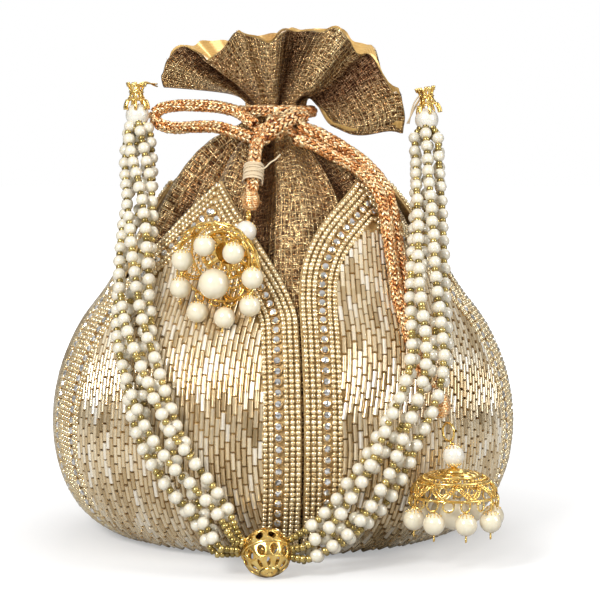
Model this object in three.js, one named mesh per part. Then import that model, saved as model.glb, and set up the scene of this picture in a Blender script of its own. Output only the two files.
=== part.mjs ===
// A potli: a stuffed drawstring pouch with five beaded petals, a tied neck, two bell pendants
// (jhumkas) on the cord ends, and a handle of pearl strands that meet in a filigree ball.
// Millimetres, +Z up, the front faces -Y, the origin is at the centre of the base.

import * as THREE from "three";

// ---------- driving dimensions ----------

const CLOTH_PROFILE = [
  // radius, height of the stuffed cloth body from the base to the tie
  [57, 2.7], [75, 5], [87, 13.5], [94.5, 27], [97.7, 45], [96.7, 60], [92.7, 75], [85.5, 90],
  [75, 104], [61, 127], [50, 148], [43.5, 157], [36, 165], [28, 171], [19.5, 175.5], [12.5, 179.5],
];
const NECK = { x: -3, radius: 12.5, bottom: 179.5, top: 184.5 };
const RIM = { halfWidth: 52.5, halfDepth: 21, pleats: 8, pleatDepth: 0.07, arch: 0.14 };
const RIM_HEIGHTS = [
  // azimuth from the front in degrees, height of the ruffle's wavy rim
  [-90, 194], [-52, 211], [-38, 206], [-21, 216.5], [-8, 213.5], [4, 218], [22, 218.5], [45, 208],
  [68, 191], [90, 173], [112, 194], [135, 212], [158, 220], [180, 219], [202, 214.5], [225, 213],
  [247, 207], [270, 194],
];
const CLOTH_THICKNESS = 1.6;
const LINING_THICKNESS = 0.9;
const TOUCH_GAP = 0.35;
const AROUND = 40;

const PETAL = { halfAngle: 35.6, valleyZ: 96, tipZ: 152.5, gap: 0.95, thickness: 1.35 };
const PETALS = [
  // arches: how full the pointed top is on its left and right side
  { azimuth: -31, arches: [1.7, 1.7] },
  { azimuth: 41, arches: [3.2, 1.8] },
  { azimuth: 113, arches: [1.8, 1.8] },
  { azimuth: 185, arches: [1.8, 1.8] },
  { azimuth: 257, arches: [1.8, 1.8] },
];

const BASE = { radius: 55, thickness: 2.2 };

const STRANDS_PER_SIDE = 6;
const STRAND_RADIUS = 2.5;
const BUNDLE = { halfWidth: 8.6, halfDepth: 5.7, endRadius: 5.7, turns: 0.55 };
const BALL = { x: -5.5, y: -112, radius: 9.9, clearance: 0.05 };

const CORD_RADIUS = 2.6;

const DOME = { rimRadius: 17.2, height: 10.8, wall: 1.3 };
const DROPS_PER_DOME = 8;
const DROP = { pearlRadius: 4.4, hang: 7, capBottom: 6.3 };
const CLAPPER = { pearlRadius: 6.2, hang: 16 };

const COLOURS = {
  tissue: { color: 0x8a6a44, roughness: 0.45, metalness: 0.6 },
  satin: { color: 0xd9ad5c, roughness: 0.35, metalness: 0.3 },
  beadwork: { color: 0xc4a77d, roughness: 0.3, metalness: 0.5 },
  copperCord: { color: 0xbe7040, roughness: 0.5, metalness: 0.5 },
  gilt: { color: 0xe0a63c, roughness: 0.25, metalness: 1.0 },
  pearl: { color: 0xf4efdc, roughness: 0.2, metalness: 0.0 },
  thread: { color: 0xd8c29a, roughness: 0.8, metalness: 0.0 },
};

const model = new THREE.Group();

// ---------- helpers ----------

function addMesh(name, geometry, finish) {
  const mesh = new THREE.Mesh(geometry, new THREE.MeshStandardMaterial(COLOURS[finish]));
  mesh.name = name;
  model.add(mesh);
  return mesh;
}

function vector(point) {
  return new THREE.Vector3(...point);
}

function smoothRoute(points) {
  return new THREE.CatmullRomCurve3(points.map(vector), false, "centripetal");
}

// A tube of a regular polygon section along a route of points.
function tubeGeometry(points, radius, steps, sides = 8) {
  const section = new THREE.Shape();
  for (let side = 0; side < sides; side += 1) {
    const angle = (2 * Math.PI * side) / sides;
    const [x, y] = [radius * Math.cos(angle), radius * Math.sin(angle)];
    if (side === 0) section.moveTo(x, y);
    else section.lineTo(x, y);
  }
  section.closePath();
  return new THREE.ExtrudeGeometry(section, { steps, extrudePath: smoothRoute(points), bevelEnabled: false });
}

// A closed surface from rings of points that all have the same count. Without caps the last ring
// joins the first one, as on a tube bent into a ring; with caps both ends close on their centres,
// and with strip caps, for a thin shell, across from one face of the shell to the other.
function ringsGeometry(rings, { capped, stripCaps = false }) {
  const count = rings[0].length;
  const positions = rings.flat().flatMap((point) => [point.x, point.y, point.z]);
  const indices = [];
  const bands = capped ? rings.length - 1 : rings.length;
  for (let band = 0; band < bands; band += 1) {
    const low = band * count;
    const high = ((band + 1) % rings.length) * count;
    for (let i = 0; i < count; i += 1) {
      const next = (i + 1) % count;
      indices.push(low + i, low + next, high + next);
      indices.push(low + i, high + next, high + i);
    }
  }
  if (stripCaps) {
    const last = (rings.length - 1) * count;
    for (let i = 0; i < count / 2 - 1; i += 1) {
      const [a, b, c, d] = [i, i + 1, count - 2 - i, count - 1 - i];
      indices.push(b, a, d, b, d, c);
      indices.push(last + a, last + b, last + d, last + b, last + c, last + d);
    }
  } else if (capped) {
    const ends = [[rings[0], 0, false], [rings.at(-1), (rings.length - 1) * count, true]];
    for (const [ring, start, last] of ends) {
      const centre = ring.reduce((sum, point) => sum.add(point), new THREE.Vector3()).divideScalar(count);
      const centreIndex = positions.length / 3;
      positions.push(centre.x, centre.y, centre.z);
      for (let i = 0; i < count; i += 1) {
        const next = (i + 1) % count;
        if (last) indices.push(start + i, start + next, centreIndex);
        else indices.push(start + next, start + i, centreIndex);
      }
    }
  }
  const geometry = new THREE.BufferGeometry();
  geometry.setAttribute("position", new THREE.Float32BufferAttribute(positions, 3));
  geometry.setIndex(indices);
  return geometry;
}

// Turns a lathe shape, made round Y, so that its +Y points along a direction, and moves it.
function lathe(points, segments, direction, place) {
  const geometry = new THREE.LatheGeometry(points.map(([r, h]) => new THREE.Vector2(r, h)), segments);
  const turn = new THREE.Quaternion().setFromUnitVectors(new THREE.Vector3(0, 1, 0), direction);
  geometry.applyQuaternion(turn);
  geometry.translate(place.x, place.y, place.z);
  return geometry;
}

function ellipsoid(radii, centre, segments = [12, 8]) {
  const geometry = new THREE.SphereGeometry(1, ...segments);
  geometry.scale(...radii);
  geometry.translate(...centre);
  return geometry;
}

// ---------- the body's surface ----------

const profileCurve = new THREE.CatmullRomCurve3(
  CLOTH_PROFILE.map(([radius, z]) => new THREE.Vector3(radius, 0, z)), false, "centripetal");

// The centre line leans slightly to the left near the neck.
function axisShift(z) {
  const t = THREE.MathUtils.smoothstep(z, 145, NECK.bottom);
  return NECK.x * t;
}

// A point on the cloth at a place along the profile, moved out along the surface's normal.
// Azimuth 0 is the front and grows to the right.
function clothPoint(t, azimuth, offset = 0) {
  const at = profileCurve.getPoint(t);
  const tangent = profileCurve.getTangent(t);
  const radius = at.x + offset * tangent.z;
  const z = at.z - offset * tangent.x;
  return new THREE.Vector3(radius * Math.sin(azimuth) + axisShift(z), -radius * Math.cos(azimuth), z);
}

// The place along the profile, from 0 to 1, at a height.
function profileAt(z) {
  let [low, high] = [0, 1];
  for (let step = 0; step < 30; step += 1) {
    const middle = (low + high) / 2;
    if (profileCurve.getPoint(middle).z < z) low = middle;
    else high = middle;
  }
  return low;
}

function bodyRadius(z) {
  return profileCurve.getPoint(profileAt(z)).x;
}

// ---------- pouch, ruffle and lining ----------

const RIM_TOP = Math.max(...RIM_HEIGHTS.map(([, height]) => height));

// The rim's height at an azimuth, eased from one listed height to the next.
function rimHeight(azimuth) {
  const turned = THREE.MathUtils.euclideanModulo(THREE.MathUtils.radToDeg(azimuth) + 90, 360) - 90;
  const next = RIM_HEIGHTS.findIndex(([angle]) => angle > turned);
  const [[startAngle, startHeight], [endAngle, endHeight]] = [RIM_HEIGHTS[next - 1], RIM_HEIGHTS[next]];
  const share = THREE.MathUtils.smoothstep(turned, startAngle, endAngle);
  return THREE.MathUtils.lerp(startHeight, endHeight, share);
}

// A point on the ruffle's outer face: level 0 is the neck and 1 the rim.
function ruffleFace(level, azimuth) {
  const [side, front] = [Math.sin(azimuth), -Math.cos(azimuth)];
  const rim = rimHeight(azimuth);
  const pleat = 1 + RIM.pleatDepth * level * Math.cos(RIM.pleats * azimuth);
  const halfWidth = THREE.MathUtils.lerp(NECK.radius, RIM.halfWidth * pleat, level);
  const halfDepth = THREE.MathUtils.lerp(NECK.radius, RIM.halfDepth * pleat, level);
  const arch = RIM.arch * (RIM_TOP - rim) * Math.sin(Math.PI * level ** 0.35);
  const z = THREE.MathUtils.lerp(NECK.top, rim, level ** 0.9) + arch;
  return new THREE.Vector3(NECK.x * (1 - level) + halfWidth * side, halfDepth * front, z);
}

// The same point moved inward through the cloth by the inset.
function rufflePoint(level, azimuth, inset = 0) {
  const reach = 0.01;
  const around = ruffleFace(level, azimuth + reach).sub(ruffleFace(level, azimuth - reach));
  const upward = ruffleFace(level + reach, azimuth).sub(ruffleFace(Math.max(0, level - reach), azimuth));
  const outward = around.cross(upward).normalize();
  return ruffleFace(level, azimuth).addScaledVector(outward, -inset);
}

function ringOf(pointAt) {
  return Array.from({ length: AROUND }, (_, i) => pointAt((2 * Math.PI * i) / AROUND));
}

function pouchGeometry() {
  const rings = [];
  const bodySteps = 19;
  for (let step = 0; step <= bodySteps; step += 1) {
    rings.push(ringOf((azimuth) => clothPoint(step / bodySteps, azimuth)));
  }
  const ruffleLevels = [0, 0.2, 0.45, 0.72, 1];
  for (const level of ruffleLevels) rings.push(ringOf((azimuth) => rufflePoint(level, azimuth)));
  for (const level of [1, 0.72, 0.45, 0.22]) {
    rings.push(ringOf((azimuth) => rufflePoint(level, azimuth, CLOTH_THICKNESS)));
  }
  return ringsGeometry(rings, { capped: true });
}

function liningGeometry() {
  const outer = CLOTH_THICKNESS + 3 * TOUCH_GAP;
  const inner = outer + LINING_THICKNESS;
  const levels = [0.45, 0.72, 1];
  const rings = levels.map((level) => ringOf((azimuth) => rufflePoint(level, azimuth, outer)));
  for (const level of [...levels].reverse()) {
    rings.push(ringOf((azimuth) => rufflePoint(level, azimuth, inner)));
  }
  return ringsGeometry(rings, { capped: false });
}

// ---------- petals ----------

function petalHalfAngle(z, arch) {
  const rise = Math.max(0, (z - PETAL.valleyZ) / (PETAL.tipZ - PETAL.valleyZ));
  const share = Math.max(0.04, 1 - rise ** arch);
  return THREE.MathUtils.degToRad(PETAL.halfAngle) * share;
}

// One beaded panel: a thin shell over the cloth, as wide as its fifth of the body below the
// valleys, and a pointed arch above them.
function petalGeometry({ azimuth, arches }) {
  const [rows, columns] = [17, 8];
  const centre = THREE.MathUtils.degToRad(azimuth);
  const top = profileAt(PETAL.tipZ);
  const rings = [];
  for (let row = 0; row <= rows; row += 1) {
    const t = (top * row) / rows;
    const halves = arches.map((arch) => petalHalfAngle(profileCurve.getPoint(t).z, arch));
    const across = Array.from({ length: columns + 1 }, (_, i) => {
      const share = (2 * i) / columns - 1;
      return centre + share * (share < 0 ? halves[0] : halves[1]);
    });
    const outside = across.map((angle) => clothPoint(t, angle, PETAL.gap + PETAL.thickness));
    const inside = across.map((angle) => clothPoint(t, angle, PETAL.gap)).reverse();
    rings.push([...outside, ...inside]);
  }
  return ringsGeometry(rings, { capped: true, stripCaps: true });
}

// ---------- drawstring ----------

const KNOT_CENTRE = [-3, -34, 175.6];
const LOOP_ROUTE = [
  [-12.4, -33.5, 177.6], [-19, -28, 182.4], [-28, -23, 184.6], [-38, -17, 185.3], [-48, -10.5, 185],
  [-54, -6.5, 183.4], [-56, -5.6, 180.2], [-53, -7.5, 177.2], [-46, -12.5, 175.6], [-37, -19, 176.2],
  [-28, -25.5, 176], [-19.6, -31, 173.8], [-13.2, -35, 171.6],
];
const RIGHT_TAIL_ROUTE = [
  [7.2, -36, 173.2], [14, -36.5, 171], [23, -36, 166], [33.4, -36, 159.4], [41.9, -40.7, 149.6],
  [44.9, -45.5, 138.2], [46.4, -50.8, 127.6], [48, -56.9, 117.1], [49.7, -63.6, 106.1], [52.6, -70.1, 95.5],
  [55.8, -75.6, 85.5], [59.2, -79, 77.5], [61.4, -81.6, 72.6],
];
const LEFT_TAIL_ROUTE = [
  [-9.6, -38.8, 170], [-11, -43.5, 166.5], [-11.5, -48.2, 160.5], [-12.1, -52.2, 152.5], [-12.3, -53, 151],
];
const LEFT_END_CENTRE = [-12.8, -57.4, 145.8];
const RIGHT_END_CENTRE = [63.9, -87.3, 64.6];

function sideways(points, distance) {
  const route = smoothRoute(points);
  return points.map((point, i) => {
    const tangent = route.getTangent(i / (points.length - 1));
    const outward = new THREE.Vector3(point[0], point[1], 0).normalize();
    const across = new THREE.Vector3().crossVectors(tangent, outward).normalize();
    return vector(point).addScaledVector(across, distance).toArray();
  });
}

function addDrawstring() {
  const wrapRadius = NECK.radius + CORD_RADIUS + 0.5;
  const wrap = new THREE.TorusGeometry(wrapRadius, CORD_RADIUS, 6, 22);
  wrap.translate(NECK.x, 0, (NECK.bottom + NECK.top) / 2 + 0.9);
  addMesh("drawstring_wrap", wrap, "copperCord");
  addMesh("drawstring_knot", ellipsoid([8.6, 4.4, 5.4], KNOT_CENTRE, [14, 10]), "copperCord");
  addMesh("drawstring_loop", tubeGeometry(LOOP_ROUTE, CORD_RADIUS, 24), "copperCord");
  for (const [name, offset] of [["drawstring_tail_right_a", -1], ["drawstring_tail_right_b", 1]]) {
    const route = sideways(RIGHT_TAIL_ROUTE, offset * (CORD_RADIUS + 0.2));
    addMesh(name, tubeGeometry(route, CORD_RADIUS, 20), "copperCord");
  }
  addMesh("drawstring_tail_left", tubeGeometry(LEFT_TAIL_ROUTE, 3.2, 8), "copperCord");
  const whipDirection = vector(LEFT_TAIL_ROUTE[3]).sub(vector(LEFT_TAIL_ROUTE[2])).normalize();
  const whipping = [[3.9, -3.4], [4.9, -3], [4.9, 3], [3.9, 3.4], [3.9, -3.4]];
  const whipPlace = vector(LEFT_TAIL_ROUTE[2]).lerp(vector(LEFT_TAIL_ROUTE[3]), 0.5);
  addMesh("tail_whipping", lathe(whipping, 14, whipDirection, whipPlace), "thread");
  addMesh("cord_end_left", ellipsoid([3.8, 3.8, 4.2], LEFT_END_CENTRE, [10, 8]), "copperCord");
  addMesh("cord_end_right", ellipsoid([4, 4, 4.8], RIGHT_END_CENTRE, [10, 8]), "copperCord");
}

// ---------- jhumkas ----------

const DROP_PROFILE = [
  [0, -DROP.capBottom], [2.2, -4.8], [4.2, -1.6], [4.1, 1.8], [1.7, 4.4], [0.7, DROP.hang - 1],
  [0, DROP.hang - 1],
];

function domeProfile() {
  const { rimRadius: rim, height, wall } = DOME;
  const outside = [
    [rim, 0], [rim - 0.6, height * 0.28], [rim * 0.82, height * 0.58], [rim * 0.52, height * 0.82],
    [rim * 0.22, height * 0.945], [0, height],
  ];
  const inside = [
    [0, height - wall], [rim * 0.22, height * 0.945 - wall], [rim * 0.5, height * 0.8 - wall],
    [rim * 0.77, height * 0.53 - wall * 0.6], [rim - 0.6 - wall, height * 0.25], [rim - wall, 0],
  ];
  return [...inside, ...outside];
}

// Tilts a drop away from the bag until its pearl clears the beaded surface.
function hangDirection(loop, outward) {
  for (let lean = 0; lean <= 80; lean += 4) {
    const angle = THREE.MathUtils.degToRad(lean);
    const down = new THREE.Vector3(0, 0, -Math.cos(angle)).addScaledVector(outward, Math.sin(angle));
    const pearl = loop.clone().addScaledVector(down, DROP.hang);
    const surface = bodyRadius(pearl.z) + PETAL.gap + PETAL.thickness;
    if (Math.hypot(pearl.x, pearl.y) - surface > DROP.pearlRadius + 1.5) return down;
  }
  throw new Error("a drop has no room");
}

// A bell pendant: a ring, the large top pearl, the filigree dome, one clapper pearl and eight
// pearl drops on the rim. The mouth direction points out of the dome's opening.
function addJhumka(side, { rimCentre, mouth, topPearl, ring }) {
  const back = mouth.clone().negate();
  const crown = rimCentre.clone().addScaledVector(back, DOME.height);
  addMesh(`${side}_jhumka_dome`, lathe(domeProfile(), 20, back, rimCentre), "gilt");
  addMesh(`${side}_jhumka_top_pearl`, ellipsoid([4.5, 4.5, 4.5], topPearl.toArray()), "pearl");
  const ringGeometry = new THREE.TorusGeometry(ring.radius, 0.6, 6, 12);
  ringGeometry.rotateY(Math.PI / 2);
  ringGeometry.rotateZ(ring.turn);
  ringGeometry.translate(...ring.place.toArray());
  addMesh(`${side}_jhumka_ring`, ringGeometry, "gilt");

  const outward = new THREE.Vector3(rimCentre.x, rimCentre.y, 0).normalize();
  const across = new THREE.Vector3().crossVectors(mouth, outward);
  if (across.length() < 0.2) across.set(1, 0, 0);
  across.normalize();
  const along = new THREE.Vector3().crossVectors(across, mouth).normalize();
  const clapperTop = crown.clone().addScaledVector(mouth, DOME.wall + 1.2);
  const clapperWay = mouth.clone().lerp(new THREE.Vector3(0, 0, -1), 0.35).normalize();
  const clapperPearl = clapperTop.clone().addScaledVector(clapperWay, CLAPPER.hang);
  const clapperUp = clapperTop.clone().sub(clapperPearl).normalize();
  const r = CLAPPER.pearlRadius;
  const clapper = [
    [0, -r], [r * 0.6, -r * 0.8], [r, 0], [r * 0.6, r * 0.8], [0.7, r], [0.7, CLAPPER.hang],
    [0, CLAPPER.hang],
  ];
  addMesh(`${side}_jhumka_clapper`, lathe(clapper, 10, clapperUp, clapperPearl), "pearl");

  for (let k = 0; k < DROPS_PER_DOME; k += 1) {
    const angle = (2 * Math.PI * (k + 0.5)) / DROPS_PER_DOME;
    const spoke = across.clone().multiplyScalar(Math.cos(angle)).addScaledVector(along, Math.sin(angle));
    const loop = rimCentre.clone().addScaledVector(spoke, DOME.rimRadius - 0.8).addScaledVector(mouth, 1.7);
    const down = hangDirection(loop, outward);
    const pearl = loop.clone().addScaledVector(down, DROP.hang);
    addMesh(`${side}_jhumka_drop_${k + 1}`, lathe(DROP_PROFILE, 8, down.clone().negate(), pearl), "pearl");
  }
}

// ---------- handle ----------

const LEFT_BUNDLE_ROUTE = [
  [-62.6, -11, 173], [-61.8, -20, 160], [-60.8, -32, 147.5], [-60.6, -45, 134], [-61, -57, 118.5],
  [-60.6, -68.5, 101.5], [-58.6, -81, 88], [-55.4, -90, 76], [-52, -95.7, 64.5], [-48, -99.8, 54],
  [-43.4, -102.6, 45.5], [-38.2, -104, 37.8], [-32.4, -105.4, 30.5], [-26.6, -107, 22.6],
  [-23, -110.2, 16], [-20.6, -111.6, 12.2],
];
const RIGHT_BUNDLE_ROUTE = [
  [62.4, -12, 171], [62.2, -22, 157], [61.8, -35, 144], [61, -50, 130], [59.8, -65.5, 115],
  [59.4, -77.6, 101.5], [59.4, -86.4, 91], [58, -94.4, 79.5], [53.8, -99.4, 68], [47.6, -102, 56],
  [42.8, -103.2, 46.5], [37, -104.2, 36.5], [29.6, -105.4, 27], [20.6, -107, 18.4], [12, -110.4, 13.4],
  [7.6, -111.8, 11.6],
];

// One strand of a bundle: it circles the bundle's centre line slowly, on a flat oval that is
// round at both ends.
function strandRoute(bundle, index) {
  const route = smoothRoute(bundle);
  const samples = 15;
  return Array.from({ length: samples + 1 }, (_, i) => {
    const t = i / samples;
    const centre = route.getPointAt(t);
    const tangent = route.getTangentAt(t);
    const outward = new THREE.Vector3(centre.x, centre.y, 0).normalize();
    const across = new THREE.Vector3().crossVectors(tangent, outward).normalize();
    const normal = new THREE.Vector3().crossVectors(across, tangent).normalize();
    const middle = Math.min(1, Math.sin(Math.PI * t) * 2.2);
    const width = THREE.MathUtils.lerp(BUNDLE.endRadius, BUNDLE.halfWidth, middle);
    const depth = THREE.MathUtils.lerp(BUNDLE.endRadius, BUNDLE.halfDepth, middle);
    const angle = 2 * Math.PI * (index / STRANDS_PER_SIDE + BUNDLE.turns * t);
    centre.addScaledVector(across, width * Math.cos(angle)).addScaledVector(normal, depth * Math.sin(angle));
    return centre.toArray();
  });
}

const HANDLE_ENDS = {
  left: { cap: [-63.4, -10, 191], pearl: [-63, -10.2, 181.2] },
  right: { cap: [62.4, -10, 189], pearl: [62.4, -10.8, 179.2] },
};

function addHandle() {
  for (const [side, bundle] of [["left", LEFT_BUNDLE_ROUTE], ["right", RIGHT_BUNDLE_ROUTE]]) {
    const { cap, pearl } = HANDLE_ENDS[side];
    const up = new THREE.Vector3(0, 0, 1);
    const capProfile = [[0, -3.6], [2.2, -3.6], [4.6, -0.6], [5.2, 2.6], [3, 3.4], [0, 2.6]];
    addMesh(`handle_${side}_cap`, lathe(capProfile, 12, up, vector(cap)), "gilt");
    addMesh(`handle_${side}_pearl`, ellipsoid([5.1, 5.1, 5.1], pearl), "pearl");
    for (let index = 0; index < STRANDS_PER_SIDE; index += 1) {
      const name = `handle_${side}_strand_${index + 1}`;
      addMesh(name, tubeGeometry(strandRoute(bundle, index), STRAND_RADIUS, 14), "pearl");
    }
  }
  const centre = [BALL.x, BALL.y, BALL.radius + BALL.clearance];
  const ball = ellipsoid([BALL.radius, BALL.radius, BALL.radius], centre, [16, 10]);
  addMesh("handle_ball", ball, "gilt");
}

// ---------- assembly ----------

function addBase() {
  const geometry = new THREE.CylinderGeometry(BASE.radius, BASE.radius, BASE.thickness, 40);
  geometry.rotateX(Math.PI / 2);
  geometry.translate(0, 0, BASE.thickness / 2);
  addMesh("base_panel", geometry, "tissue");
}

addBase();
addMesh("pouch", pouchGeometry(), "tissue");
addMesh("lining", liningGeometry(), "satin");
PETALS.forEach((petal, i) => addMesh(`petal_${i + 1}`, petalGeometry(petal), "beadwork"));
addDrawstring();
addJhumka("left", {
  rimCentre: new THREE.Vector3(-25.5, -82.9, 121.5),
  mouth: new THREE.Vector3(-0.35, -0.87, -0.35).normalize(),
  topPearl: new THREE.Vector3(-14.6, -66.8, 133.4),
  ring: { place: new THREE.Vector3(-13.6, -62.3, 139.7), radius: 1.9, turn: 0.3 },
});
addJhumka("right", {
  rimCentre: new THREE.Vector3(68.6, -97, 30),
  mouth: new THREE.Vector3(0, 0, -1),
  topPearl: new THREE.Vector3(68.4, -96.6, 45.7),
  ring: { place: new THREE.Vector3(66.6, -92.8, 54.7), radius: 3.6, turn: 0.6 },
});
addHandle();

export default model;
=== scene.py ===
"""A potli bag: beaded petals over bronze tissue cloth, a crocheted drawstring, two gilt bells
with pearl drops and a handle of pearl strands. Metres, +Z up, the front faces -Y."""

import math

import bpy
import numpy as np
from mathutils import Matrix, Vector


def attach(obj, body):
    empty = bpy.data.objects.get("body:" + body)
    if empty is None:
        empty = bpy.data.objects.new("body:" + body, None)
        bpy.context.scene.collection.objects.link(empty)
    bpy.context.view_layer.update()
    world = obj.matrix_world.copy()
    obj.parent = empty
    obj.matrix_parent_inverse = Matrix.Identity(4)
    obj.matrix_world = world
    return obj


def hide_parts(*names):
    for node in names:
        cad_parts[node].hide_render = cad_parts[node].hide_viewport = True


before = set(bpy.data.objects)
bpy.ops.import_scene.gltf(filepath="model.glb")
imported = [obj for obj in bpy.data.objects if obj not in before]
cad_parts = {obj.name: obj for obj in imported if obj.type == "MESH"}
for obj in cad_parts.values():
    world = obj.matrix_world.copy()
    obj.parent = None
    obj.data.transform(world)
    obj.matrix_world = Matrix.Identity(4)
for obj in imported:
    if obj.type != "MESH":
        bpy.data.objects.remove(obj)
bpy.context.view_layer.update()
MM = 0.001
TURN = 2 * math.pi
rng = np.random.default_rng(11)

# ---------------------------------------------------------------- driving dimensions (mm)

CLOTH_PROFILE = [
    (57, 2.7), (75, 5), (87, 13.5), (94.5, 27), (97.7, 45), (96.7, 60), (92.7, 75), (85.5, 90),
    (75, 104), (61, 127), (50, 148), (43.5, 157), (36, 165), (28, 171), (19.5, 175.5), (12.5, 179.5),
]
NECK_X, NECK_RADIUS, NECK_BOTTOM, NECK_TOP = -3.0, 12.5, 179.5, 184.5
RIM_HALF_WIDTH, RIM_HALF_DEPTH, RIM_ARCH = 53.0, 19.0, 0.14
WING_FLOP = 10.0  # the right side of the ruffle hangs over the tie
RIM_HEIGHTS = [  # azimuth from the front in degrees, height of the ruffle's wavy rim
    (-90, 194), (-52, 210.5), (-38, 204), (-21, 216), (-8, 212.5), (4, 217), (22, 217.5), (45, 207),
    (68, 190), (90, 173), (112, 193), (135, 212), (158, 219), (180, 218.5), (202, 214), (225, 213),
    (247, 207), (270, 194),
]

PETALS = [  # azimuth, fullness of the pointed top on the left and right, lean of its bead columns
    (-31, (1.7, 1.7), -0.10), (41, (3.2, 1.8), 0.33), (113, (1.8, 1.8), 0.0), (185, (1.8, 1.8), 0.0),
    (257, (1.8, 1.8), 0.0),
]
PETAL_HALF_ANGLE = math.radians(35.7)
VALLEY_Z, TIP_Z = 96.0, 152.5
PETAL_LIFT, PETAL_CLOTH = 1.0, 0.9

SEED_LINES_OUTER = (1.3, 3.6, 5.9)
STONE_LINE = 8.9
SEED_LINES_INNER = (11.8, 14.1)
BUGLE_FIELD_EDGE = 15.2
BUGLE_LENGTH, BUGLE_RADIUS, BUGLE_PITCH = 6.7, 1.04, 2.14
SEED_LENGTH, SEED_RADIUS, SEED_PITCH = 1.9, 1.2, 2.0
STONE_PITCH, STONE_RADIUS = 4.3, 1.9

CORD_DIAMETER = 5.2
STRANDS_PER_SIDE = 6
HANDLE_PEARL, HANDLE_PITCH = 2.62, 7.25
BUNDLE_WIDTH, BUNDLE_DEPTH, BUNDLE_END, BUNDLE_TURNS = 8.6, 5.7, 5.7, 0.55

DOME_RIM, DOME_HEIGHT = 17.2, 10.8
DROP_PEARL, DROP_BOTTOM, DROP_HANG = 4.4, 6.3, 7.0
CLAPPER_PEARL, CLAPPER_HANG = 6.2, 16.0
DROPS_PER_DOME = 8
TOP_PEARL = 4.4
TEETH, RIM_LOOPS = 9, 16


# ---------------------------------------------------------------- camera, lights and floor

def add_camera():
    data = bpy.data.cameras.new("camera")
    camera = bpy.data.objects.new("camera", data)
    bpy.context.scene.collection.objects.link(camera)
    camera.location = (0.0075, -0.90, 0.172)
    target = Vector((0.0075, 0.0, 0.1))
    camera.rotation_euler = (target - camera.location).to_track_quat("-Z", "Y").to_euler()
    data.sensor_width = 36
    data.lens = 36 / (2 * math.tan(math.radians(16.7) / 2))
    data.clip_start = 0.01
    bpy.context.scene.camera = camera


def add_area_light(name, place, aim, size, power, colour=(1, 1, 1)):
    data = bpy.data.lights.new(name, "AREA")
    data.shape = "RECTANGLE"
    data.size, data.size_y = size
    data.energy = power
    data.color = colour
    light = bpy.data.objects.new(name, data)
    light.location = place
    light.rotation_euler = (Vector(aim) - Vector(place)).to_track_quat("-Z", "Y").to_euler()
    bpy.context.scene.collection.objects.link(light)


def add_world():
    """A studio sky: bright overhead, darker at the horizon, and plain pale where it is seen."""
    world = bpy.data.worlds.new("studio")
    bpy.context.scene.world = world
    world.use_nodes = True
    nodes, links = world.node_tree.nodes, world.node_tree.links
    nodes.clear()
    output = nodes.new("ShaderNodeOutputWorld")
    coordinates = nodes.new("ShaderNodeTexCoord")
    split = nodes.new("ShaderNodeSeparateXYZ")
    links.new(coordinates.outputs["Generated"], split.inputs[0])
    ramp = nodes.new("ShaderNodeValToRGB")
    ramp.color_ramp.elements[0].position = 0.5
    ramp.color_ramp.elements[0].color = (0.16, 0.15, 0.14, 1)
    ramp.color_ramp.elements[1].position = 0.86
    ramp.color_ramp.elements[1].color = (1, 1, 1, 1)
    height = nodes.new("ShaderNodeMapRange")
    height.inputs["From Min"].default_value = -1
    height.inputs["From Max"].default_value = 1
    links.new(split.outputs["Z"], height.inputs["Value"])
    links.new(height.outputs["Result"], ramp.inputs["Fac"])
    lit = nodes.new("ShaderNodeBackground")
    lit.inputs["Strength"].default_value = 0.62
    links.new(ramp.outputs["Color"], lit.inputs["Color"])
    seen = nodes.new("ShaderNodeBackground")
    seen.inputs["Color"].default_value = (1, 1, 1, 1)
    path = nodes.new("ShaderNodeLightPath")
    mix = nodes.new("ShaderNodeMixShader")
    links.new(path.outputs["Is Camera Ray"], mix.inputs["Fac"])
    links.new(lit.outputs[0], mix.inputs[1])
    links.new(seen.outputs[0], mix.inputs[2])
    links.new(mix.outputs[0], output.inputs["Surface"])


def add_stage():
    add_world()
    add_area_light("key", (-0.45, -0.85, 0.62), (0, 0, 0.1), (0.3, 0.3), 10)
    add_area_light("fill", (0.75, -0.45, 0.45), (0, 0, 0.1), (0.3, 0.6), 3.4)
    add_area_light("back", (0.1, 0.8, 0.8), (0, 0, 0.1), (0.8, 0.4), 4)
    add_floor()
    bpy.context.scene.view_settings.view_transform = "Standard"


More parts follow.
